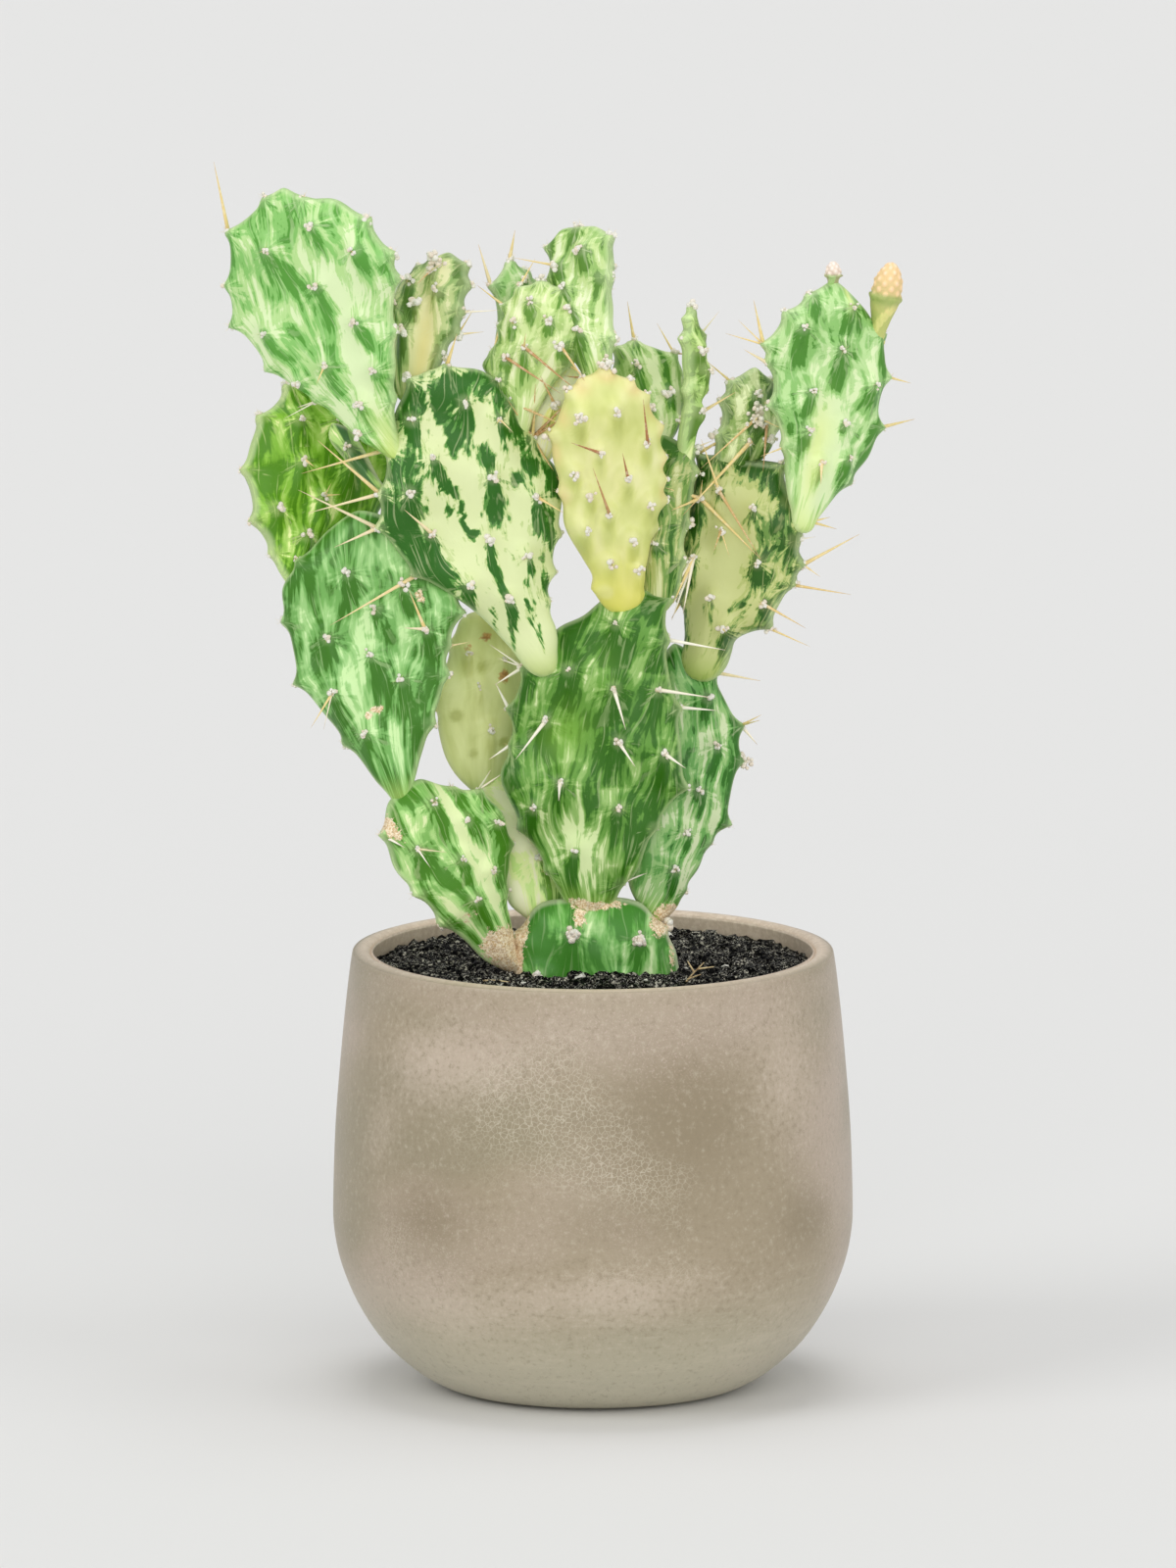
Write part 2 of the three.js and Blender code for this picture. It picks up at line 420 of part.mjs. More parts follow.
function isInside(loop, x, z) {
  let inside = false;
  for (let i = 0, j = loop.length - 1; i < loop.length; j = i, i += 1) {
    const [ax, az] = loop[i];
    const [bx, bz] = loop[j];
    if (az > z !== bz > z && x < ((bx - ax) * (z - az)) / (bz - az) + ax) inside = !inside;
  }
  return inside;
}

// The areoles of the back face stand between those of the front
function backSpots(pad) {
  const spots = [];
  for (const [x, z] of pad.dots) {
    const dx = x - pad.root[0];
    const dz = z - pad.root[1];
    const v = dx * pad.along.x + dz * pad.along.y;
    const u = -(dx * pad.across.x + dz * pad.across.y);
    const bx = pad.root[0] + v * pad.along.x + u * pad.across.x;
    const bz = pad.root[1] + v * pad.along.y + u * pad.across.y;
    if (isInside(pad.loop, bx, bz) && edgeDistance(pad.loop, bx, bz) > 3) spots.push([bx, bz]);
  }
  return spots;
}

function standOn(piece) {
  const parent = pads.find((pad) => pad.name === piece.on);
  piece.depth = piece.set + (parent ? depthAt(parent, piece.root[0], piece.root[1]) : 0);
}

function preparePad(pad) {
  standOn(pad);
  placePad(pad);
  const leftEdge = [pad.root, ...pad.left, pad.tip];
  const rightEdge = [pad.root, ...pad.right, pad.tip];
  leftEdge.side = 1;
  rightEdge.side = -1;
  const [rows, columns] = pad.grid;
  const leftRows = edgeRows(leftEdge, rows);
  const rightRows = edgeRows(rightEdge, rows);
  pad.loop = [...leftRows, ...rightRows.slice(1, -1).reverse()];
  let widest = 0;
  leftRows.forEach((point, row) => {
    widest = Math.max(widest, Math.hypot(point[0] - rightRows[row][0], point[1] - rightRows[row][1]));
  });
  pad.rounding = Math.min(pad.thick, 0.42 * widest);
  pad.backDots = backSpots(pad);
  pad.edges = [leftRows, rightRows];
  pad.steps = Array.from({ length: columns - 1 }, (_, k) => {
    const even = (k + 1) / columns;
    return even - 0.055 * Math.sin(2 * Math.PI * even);
  });
}

// The flat places of the inner grid points, each areole taking the nearest of them
function gridPlaces(pad, spots) {
  const [leftRows, rightRows] = pad.edges;
  const places = [];
  for (let row = 1; row < leftRows.length - 1; row += 1) {
    const [lx, lz] = leftRows[row];
    const [rx, rz] = rightRows[row];
    places.push(pad.steps.map((step) => [lx + (rx - lx) * step, lz + (rz - lz) * step]));
  }
  const taken = new Set();
  for (const [x, z] of spots) {
    let best = null;
    places.forEach((line, i) => line.forEach(([px, pz], k) => {
      const gap = Math.hypot(px - x, pz - z);
      if (!taken.has(`${i},${k}`) && (!best || gap < best.gap)) best = { gap, i, k };
    }));
    if (best && best.gap < 4.2) {
      places[best.i][best.k] = [x, z];
      taken.add(`${best.i},${best.k}`);
    }
  }
  return places;
}

// A pad's solid; "grow" makes it bigger all round
function padBody(pad, grow) {
  const [leftRows, rightRows] = pad.edges;
  const rows = leftRows.length - 1;
  const points = [];
  const add = (point) => points.push(point) - 1;
  const addEdge = ([x, z]) => add(lift(pad, x, z, 0));
  const rootIndex = addEdge(pad.root);
  const tipIndex = addEdge(pad.tip);
  const leftIndex = leftRows.slice(1, rows).map(addEdge);
  const rightIndex = rightRows.slice(1, rows).map(addEdge);
  const faces = [];
  for (const side of [1, -1]) {
    const spots = side > 0 ? pad.dots : pad.backDots;
    const rings = gridPlaces(pad, spots).map((line, row) => [
      leftIndex[row],
      ...line.map(([x, z]) => add(lift(pad, x, z, side * rise(pad, spots, x, z)))),
      rightIndex[row],
    ]);
    const put = (i, j, k) => faces.push(side > 0 ? [i, j, k] : [i, k, j]);
    const across = rings[0].length - 1;
    for (let k = 0; k < across; k += 1) {
      put(rootIndex, rings[0][k], rings[0][k + 1]);
      put(tipIndex, rings[rings.length - 1][k + 1], rings[rings.length - 1][k]);
      for (let row = 0; row < rings.length - 1; row += 1) {
        const [a, b, c, d] = [rings[row][k], rings[row][k + 1], rings[row + 1][k + 1], rings[row + 1][k]];
        if (points[a].distanceTo(points[c]) < points[b].distanceTo(points[d])) {
          put(a, d, c);
          put(a, c, b);
        } else {
          put(a, d, b);
          put(b, d, c);
        }
      }
    }
  }
  return solidFrom(points, faces, grow);
}

// A tuft of wool on an areole, as a blunt three-sided stub
function tuft(center, normal, size, seed) {
  const geometry = new THREE.ConeGeometry(size * 1.15, size * 1.5, 3, 1);
  geometry.rotateY(chance(seed) * Math.PI);
  const turn = new THREE.Quaternion().setFromUnitVectors(new THREE.Vector3(0, 1, 0), normal);
  geometry.applyQuaternion(turn);
  geometry.translate(center.x, center.y, center.z);
  return toSolid(geometry);
}

function needle(from, to, radius, overlap) {
  const way = to.clone().sub(from);
  const length = way.length() + overlap;
  way.normalize();
  const geometry = new THREE.ConeGeometry(radius, length, 3, 1);
  geometry.translate(0, length / 2 - overlap, 0);
  geometry.applyQuaternion(new THREE.Quaternion().setFromUnitVectors(new THREE.Vector3(0, 1, 0), way));
  geometry.translate(from.x, from.y, from.z);
  return toSolid(geometry);
}

function clearOf(probe, others) {
  return others.every((other) => probe.intersect(other).isEmpty());
}

// Every areole of a pad in space, with the way it faces
function areolesOf(pad) {
  const found = [];
  for (const side of [1, -1]) {
    const spots = side > 0 ? pad.dots : pad.backDots;
    for (const [x, z] of spots) {
      const at = lift(pad, x, z, side * rise(pad, spots, x, z));
      found.push({ at, facing: pad.normal.clone().multiplyScalar(side), x, z, side });
    }
  }
  for (const edge of [pad.left, pad.right, [pad.tip]]) {
    for (const point of edge.filter((entry) => entry[2] !== 0)) {
      const [x, z] = point;
      const v = (x - pad.root[0]) * pad.along.x + (z - pad.root[1]) * pad.along.y;
      const axis = [pad.root[0] + pad.along.x * v * 0.8, pad.root[1] + pad.along.y * v * 0.8];
      const facing = new THREE.Vector3(x - axis[0], 0, z - axis[1]).normalize();
      found.push({ at: lift(pad, x, z, 0), facing, x, z, side: 0 });
    }
  }
  return found;
}

function growSpines(pad, index, others) {
  const parts = [];
  const spots = areolesOf(pad);
  spots.forEach((spot, i) => {
    if (spot.side < 0 && i % 2 === 0) return;
    const seed = index * 97 + i * 7 + 3;
    const center = spot.at.clone().addScaledVector(spot.facing, -0.35);
    if (!clearOf(tuft(center, spot.facing, areoleSize + 0.8, seed), others)) return;
    parts.push(tuft(center, spot.facing, areoleSize * (0.85 + 0.3 * chance(seed + 1)), seed));
    if (spot.side === 0 || chance(seed + 2) < 0.7) return;
    const sway = new THREE.Vector3(chance(seed + 3) - 0.5, chance(seed + 4) - 0.5, chance(seed + 5) - 0.75);
    const way = spot.facing.clone().multiplyScalar(1.1).add(sway.multiplyScalar(1.5)).normalize();
    const to = spot.at.clone().addScaledVector(way, 6 + 7 * chance(seed + 6));
    if (clearOf(needle(spot.at, to, spineRadius + 0.8, 1), others)) {
      parts.push(needle(spot.at, to, spineRadius, spineRoot));
    }
  });
  for (const [x0, z0, x1, z1, forward] of pad.needles) {
    const near = spots.reduce((best, spot) => {
      const gap = Math.hypot(spot.x - x0, spot.z - z0) + (spot.side < 0 ? 99 : 0);
      return !best || gap < best.gap ? { gap, spot } : best;
    }, null);
    const from = near.spot.at;
    for (const extra of [0, 4, 8]) {
      const y = from.y - forward - extra;
      const to = new THREE.Vector3(x1, y, z1 - sheetDrop * y);
      if (clearOf(needle(from, to, spineRadius + 0.8, 1), others)) {
        parts.push(needle(from, to, spineRadius * 1.15, spineRoot));
        break;
      }
    }
  }
  return parts;
}

// The pot is turned from one wall outline
function potOutline() {
  const outer = [
    [potFootRadius, 0], [46, 0.8], [50, 2.4], [56.6, 6.6], [65.7, 15.3], [72.9, 26.5], [77.7, 38.3],
    [79.8, 48.5], [potBellyRadius + 0.1, 58], [79.4, 80], [77.9, 100], [76.2, 118], [potRimRadius, 133.6],
  ];
  const lip = [[73.3, 135.3], [71.6, potHeight], [69.5, 135.5], [68.4, 134]];
  const inner = [[68.1, 129], [potBellyRadius - potWall, 66], [70.5, 38], [56, 17], [40, 9]];
  return { outer, lip, inner };
}

function turned(outline, around) {
  const points = outline.map(([r, z]) => new THREE.Vector2(r, z));
  const geometry = new THREE.LatheGeometry([...points, points[0].clone()], around);
  geometry.rotateX(Math.PI / 2);
  const solid = toSolid(geometry);
  return solid.volume() > 0 ? solid : toSolid(flipped(geometry));
}

function flipped(geometry) {
  const index = Array.from(geometry.index.array);
  for (let i = 0; i < index.length; i += 3) [index[i + 1], index[i + 2]] = [index[i + 2], index[i + 1]];
  geometry.setIndex(index);
  return geometry;
}

function makePot() {
  const { outer, lip, inner } = potOutline();
  return turned([[0, 0], ...outer, ...lip, ...inner, [0, 9]], aroundPot);
}

// Loose ground: a lumpy top that rises a little towards the plant
function makeSoil() {
  const { inner } = potOutline();
  const wall = inner.slice(1).reverse().map(([r, z]) => [r - seatGap, z + seatGap * 0.8]);
  const rim = 67.6;
  const rings = [...wall, [rim, soilLevel - 0.6]];
  const circles = [58, 44, 25];
  const points = [];
  const put = (r, z, angle) => {
    points.push(new THREE.Vector3(r * Math.sin(angle), r * Math.cos(angle), z));
    return points.length - 1;
  };
  const bottom = put(0, wall[0][1], 0);
  const stack = [];
  for (const [r, z] of rings) {
    stack.push(Array.from({ length: aroundPot }, (_, k) => put(r, z, (2 * Math.PI * k) / aroundPot)));
  }
  circles.forEach((r, ring) => {
    stack.push(Array.from({ length: aroundPot }, (_, k) => {
      const seed = ring * 131 + k;
      const angle = (2 * Math.PI * k) / aroundPot;
      const x = r * Math.sin(angle);
      const y = r * Math.cos(angle) + 18;
      const mound = 2.2 * Math.exp(-(x * x + y * y) / 1300);
      return put(r + 2.4 * (chance(seed) - 0.5), soilLevel + mound + 2.2 * (chance(seed + 0.5) - 0.5), angle);
    }));
  });
  const top = put(0, soilLevel + 1.6, 0);
  const faces = [];
  for (let k = 0; k < aroundPot; k += 1) {
    const next = (k + 1) % aroundPot;
    faces.push([bottom, stack[0][k], stack[0][next]]);
    faces.push([top, stack[stack.length - 1][next], stack[stack.length - 1][k]]);
    for (let i = 0; i < stack.length - 1; i += 1) {
      faces.push([stack[i][k], stack[i + 1][k], stack[i + 1][next]]);
      faces.push([stack[i][k], stack[i + 1][next], stack[i][next]]);
    }
  }
  return solidFrom(points, faces);
}

function budBody(bud) {
  const around = 9;
  const base = new THREE.Vector3(bud.root[0], bud.depth, bud.root[1] - sheetDrop * bud.depth);
  const tip = new THREE.Vector3(bud.tip[0], bud.depth, bud.tip[1] - sheetDrop * bud.depth);
  const way = tip.clone().sub(base);
  const across = new THREE.Vector3(way.z, 0, -way.x).normalize();
  const back = new THREE.Vector3(0, 1, 0);
  const points = [base.clone()];
  const rings = bud.girth.map((girth, i) => {
    const center = base.clone().addScaledVector(way, (i + 0.35) / bud.girth.length);
    return Array.from({ length: around }, (_, k) => {
      const angle = (2 * Math.PI * (k + (i % 2) / 2)) / around;
      const r = girth * (0.92 + 0.16 * chance(i * 31 + k * 5 + girth));
      const point = center.clone().addScaledVector(across, r * Math.cos(angle));
      return points.push(point.addScaledVector(back, r * Math.sin(angle))) - 1;
    });
  });
  const end = points.push(tip.clone()) - 1;
  const faces = [];
  for (let k = 0; k < around; k += 1) {
    const next = (k + 1) % around;
    faces.push([0, rings[0][next], rings[0][k]]);
    faces.push([end, rings[rings.length - 1][k], rings[rings.length - 1][next]]);
    for (let i = 0; i < rings.length - 1; i += 1) {
      faces.push([rings[i][k], rings[i][next], rings[i + 1][next]]);
      faces.push([rings[i][k], rings[i + 1][next], rings[i + 1][k]]);
    }
  }
  return solidFrom(points, faces);
}

// Build in order: each pad makes way for those it grows from
pads.forEach(preparePad);
buds.forEach(standOn);
const bodies = {};
const grown = {};
for (const pad of pads) {
  let body = padBody(pad, 0);
  for (const other of Object.values(grown)) body = body.subtract(other);
  bodies[pad.name] = biggest(body);
  grown[pad.name] = padBody(pad, seatGap);
}
for (const bud of buds) {
  let body = budBody(bud);
  for (const other of Object.values(grown)) body = body.subtract(other);
  bodies[bud.name] = biggest(body);
}

const solids = {};
solids.pot = makePot();
solids.soil = biggest(makeSoil().subtract(grown.base_pad));
const finished = { ...bodies, pot: solids.pot, soil: solids.soil };
pads.forEach((pad, index) => {
  const others = Object.entries(finished).filter(([name]) => name !== pad.name).map(([, solid]) => solid);
  const parts = growSpines(pad, index, others);
  finished[pad.name] = biggest(parts.reduce((sum, part) => sum.add(part), bodies[pad.name]));
  solids[pad.name] = finished[pad.name];
});
buds.forEach((bud) => {
  solids[bud.name] = bodies[bud.name];
});

const colors = { pot: 0xa99a85, soil: 0x1f1d1e };
for (const entry of [...pads, ...buds]) colors[entry.name] = entry.color;

const group = new THREE.Group();
for (const [name, solid] of Object.entries(solids)) {
  const result = solid.getMesh();
  const geometry = new THREE.BufferGeometry();
  geometry.setAttribute("position", new THREE.BufferAttribute(new Float32Array(result.vertProperties), 3));
  geometry.setIndex(Array.from(result.triVerts));
  const material = new THREE.MeshStandardMaterial({ color: colors[name], flatShading: true });
  const mesh = new THREE.Mesh(geometry, material);
  mesh.name = name;
  group.add(mesh);
}

export default group;
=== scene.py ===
import math

import bpy
import numpy as np
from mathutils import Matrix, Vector, noise


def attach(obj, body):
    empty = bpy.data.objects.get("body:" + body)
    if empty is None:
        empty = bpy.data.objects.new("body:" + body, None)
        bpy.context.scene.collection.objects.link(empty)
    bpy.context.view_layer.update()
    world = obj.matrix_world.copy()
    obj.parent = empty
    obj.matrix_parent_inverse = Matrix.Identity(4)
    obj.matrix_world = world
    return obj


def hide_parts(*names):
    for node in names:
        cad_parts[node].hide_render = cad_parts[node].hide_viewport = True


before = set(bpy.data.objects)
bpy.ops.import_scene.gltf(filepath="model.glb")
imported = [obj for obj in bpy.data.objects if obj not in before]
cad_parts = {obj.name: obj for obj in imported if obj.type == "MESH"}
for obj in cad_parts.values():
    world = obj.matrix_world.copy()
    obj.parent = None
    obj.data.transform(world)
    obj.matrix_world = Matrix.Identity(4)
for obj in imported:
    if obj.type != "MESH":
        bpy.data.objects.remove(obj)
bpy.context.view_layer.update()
print("stage: the packed model is loaded,", len(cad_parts), "pieces")

mm = 0.001
sheetDrop = 0.171  # a point d behind the pot's axis sits this much times d lower than it is drawn


class Value:  # a node's output that takes part in sums
    def __init__(self, builder, socket):
        self.builder = builder
        self.socket = socket

    def __add__(self, other):
        return self.builder.maths("ADD", self, other)

    def __radd__(self, other):
        return self.builder.maths("ADD", other, self)

    def __sub__(self, other):
        return self.builder.maths("SUBTRACT", self, other)

    def __rsub__(self, other):
        return self.builder.maths("SUBTRACT", other, self)

    def __mul__(self, other):
        return self.builder.maths("MULTIPLY", self, other)

    def __rmul__(self, other):
        return self.builder.maths("MULTIPLY", other, self)


class Builder:  # makes the nodes of one tree
    def __init__(self, tree):
        self.tree = tree

    def node(self, kind, settings=None, inputs=None, out=0):
        made = self.tree.nodes.new(kind)
        for name, value in (settings or {}).items():
            setattr(made, name, value)
        for name, value in (inputs or {}).items():
            self.feed(made.inputs[name], value)
        return Value(self, made.outputs[out]) if len(made.outputs) else made

    def feed(self, socket, value):
        if isinstance(value, Value):
            self.tree.links.new(value.socket, socket)
        elif socket.type == "RGBA" and len(value) == 3:
            socket.default_value = (*value, 1)
        else:
            socket.default_value = value

    def maths(self, operation, one, other):
        return self.node("ShaderNodeMath", {"operation": operation}, {0: one, 1: other})

    def vectors(self, operation, one, other):
        return self.node("ShaderNodeVectorMath", {"operation": operation}, {0: one, 1: other})

    def mix(self, factor, one, other, how="MIX"):
        settings = {"data_type": "RGBA", "blend_type": how, "clamp_factor": True}
        return self.node("ShaderNodeMix", settings, {0: factor, 6: one, 7: other}, out=2)

    def step(self, value, low, high):  # 0 up to low, 1 from high on, smooth between them
        return self.node("ShaderNodeMapRange", {"interpolation_type": "SMOOTHSTEP"},
                         {"Value": value, "From Min": low, "From Max": high})

    def attribute(self, name, out="Fac"):
        return self.node("ShaderNodeAttribute", {"attribute_name": name}, out=out)

    def place(self):
        return self.node("ShaderNodeTexCoord", out="Object")

    def height(self, vector):
        return self.node("ShaderNodeSeparateXYZ", None, {0: vector}, out=2)

    def stretch(self, vector, amounts, shift=(0, 0, 0)):
        return self.vectors("ADD", self.vectors("MULTIPLY", vector, amounts), shift)

    def cloud(self, vector, scale=1.0, detail=2.0, rough=0.5):
        return self.node("ShaderNodeTexNoise", None,
                         {"Vector": vector, "Scale": scale, "Detail": detail, "Roughness": rough})

    def bump(self, height, strength, distance):
        return self.node("ShaderNodeBump", None,
                         {"Height": height, "Strength": strength, "Distance": distance})

    # From here on for Geometry Nodes alone
    def field(self, name, kind="FLOAT"):  # what each point carries under this name
        return self.node("GeometryNodeInputNamedAttribute", {"data_type": kind}, {"Name": name})

    def random(self, seed, high=1.0):  # a number from 0 to high for each point
        return self.node("FunctionNodeRandomValue", {"data_type": "FLOAT"},
                         {2: 0.0, 3: high, "Seed": seed}, out=1)

    def randomTurn(self, seed):
        turn = self.node("FunctionNodeRandomValue", {"data_type": "FLOAT_VECTOR"},
                         {0: (0, 0, 0), 1: (6.28, 6.28, 6.28), "Seed": seed})
        return self.node("FunctionNodeEulerToRotation", None, {0: turn})

    def lumpy(self, shape, scale, amount):  # the shape, pushed out of round
        lump = self.node("ShaderNodeTexNoise", None, {"Scale": scale, "Detail": 1.0}, out=1)
        push = self.vectors("SUBTRACT", lump, (0.5, 0.5, 0.5))
        push = self.node("ShaderNodeVectorMath", {"operation": "SCALE"}, {0: push, "Scale": amount})
        return self.node("GeometryNodeSetPosition", None, {"Geometry": shape, "Offset": push})

    def keep(self, shape, domain, name, value):  # a number that stays on the shape under this name
        return self.node("GeometryNodeStoreNamedAttribute", {"data_type": "FLOAT", "domain": domain},
                         {"Geometry": shape, "Name": name, "Value": value})

    def setOnPoints(self, points, shape, turn, size):
        return self.node("GeometryNodeInstanceOnPoints", None,
                         {"Points": points, "Instance": shape, "Rotation": turn, "Scale": size})


def tint(colour):  # a colour as a screen shows it, 0 to 255, to the renderer's own scale
    shares = [part / 255 for part in colour]
    return tuple(c / 12.92 if c <= 0.04045 else ((c + 0.055) / 1.055) ** 2.4 for c in shares)


def unit(vector):
    return vector / np.linalg.norm(vector)


def newMaterial(name, build):
    material = bpy.data.materials.new(name)
    material.use_nodes = True
    tree = material.node_tree
    tree.nodes.clear()
    builder = Builder(tree)
    shader = tree.nodes.new("ShaderNodeBsdfPrincipled")
    output = tree.nodes.new("ShaderNodeOutputMaterial")
    tree.links.new(shader.outputs[0], output.inputs[0])
    for name, value in build(builder).items():
        builder.feed(shader.inputs[name], value)
    return material


def meshObject(name, points, faces, material=None, smooth=True):
    mesh = bpy.data.meshes.new(name)
    mesh.from_pydata([tuple(p) for p in points], [], faces)
    mesh.update()
    if smooth:
        mesh.shade_smooth()
    made = bpy.data.objects.new(name, mesh)
    bpy.context.scene.collection.objects.link(made)
    if material:
        mesh.materials.append(material)
    return made


def addValues(mesh, name, values, kind="FLOAT"):
    field = mesh.attributes.new(name, kind, "POINT")
    key = "value" if kind == "FLOAT" else "vector"
    field.data.foreach_set(key, np.asarray(values, np.float32).ravel())


def closedRings(count, around):  # faces over rings of points, with a point before and one after them
    last = 1 + (count - 1) * around
    faces = []
    for k in range(around):
        n = (k + 1) % around
        faces += [(0, 1 + n, 1 + k), (last + around, last + k, last + n)]
        faces += [(a + k, a + n, a + around + n, a + around + k) for a in range(1, last, around)]
    return faces


def ringPoints(r, z, angles):  # points round the pot's axis, from the front on
    return [(r * math.sin(a), -r * math.cos(a), z) for a in angles]


def geometryTree(name, inputs):
    tree = bpy.data.node_groups.new(name, "GeometryNodeTree")
    tree.interface.new_socket("Geometry", in_out="INPUT", socket_type="NodeSocketGeometry")
    tree.interface.new_socket("Geometry", in_out="OUTPUT", socket_type="NodeSocketGeometry")
    sockets = {}
    for label, (kind, value) in inputs.items():
        socket = tree.interface.new_socket(label, in_out="INPUT", socket_type=kind)
        socket.default_value = value
        sockets[label] = socket.identifier
    builder = Builder(tree)
    entry = tree.nodes.new("NodeGroupInput")
    fields = {label: Value(builder, entry.outputs[label]) for label in ["Geometry", *inputs]}
    return tree, builder, fields, sockets


def endTree(builder, geometry, material):  # real faces and a material, then the way out
    real = builder.node("GeometryNodeRealizeInstances", None, {"Geometry": geometry})
    dressed = builder.node("GeometryNodeSetMaterial", None, {"Geometry": real, "Material": material})
    builder.node("NodeGroupOutput", None, {"Geometry": dressed})


def growFrom(name, source, tree, sockets, values):  # runs the tree on the source and keeps a plain mesh
    modifier = source.modifiers.new("grow", "NODES")
    modifier.node_group = tree
    for label, value in values.items():
        modifier[sockets[label]] = value
    bpy.context.view_layer.update()
    graph = bpy.context.evaluated_depsgraph_get()
    mesh = bpy.data.meshes.new_from_object(source.evaluated_get(graph))
    mesh.name = name
    source.modifiers.remove(modifier)
    made = bpy.data.objects.new(name, mesh)
    bpy.context.scene.collection.objects.link(made)
    return made


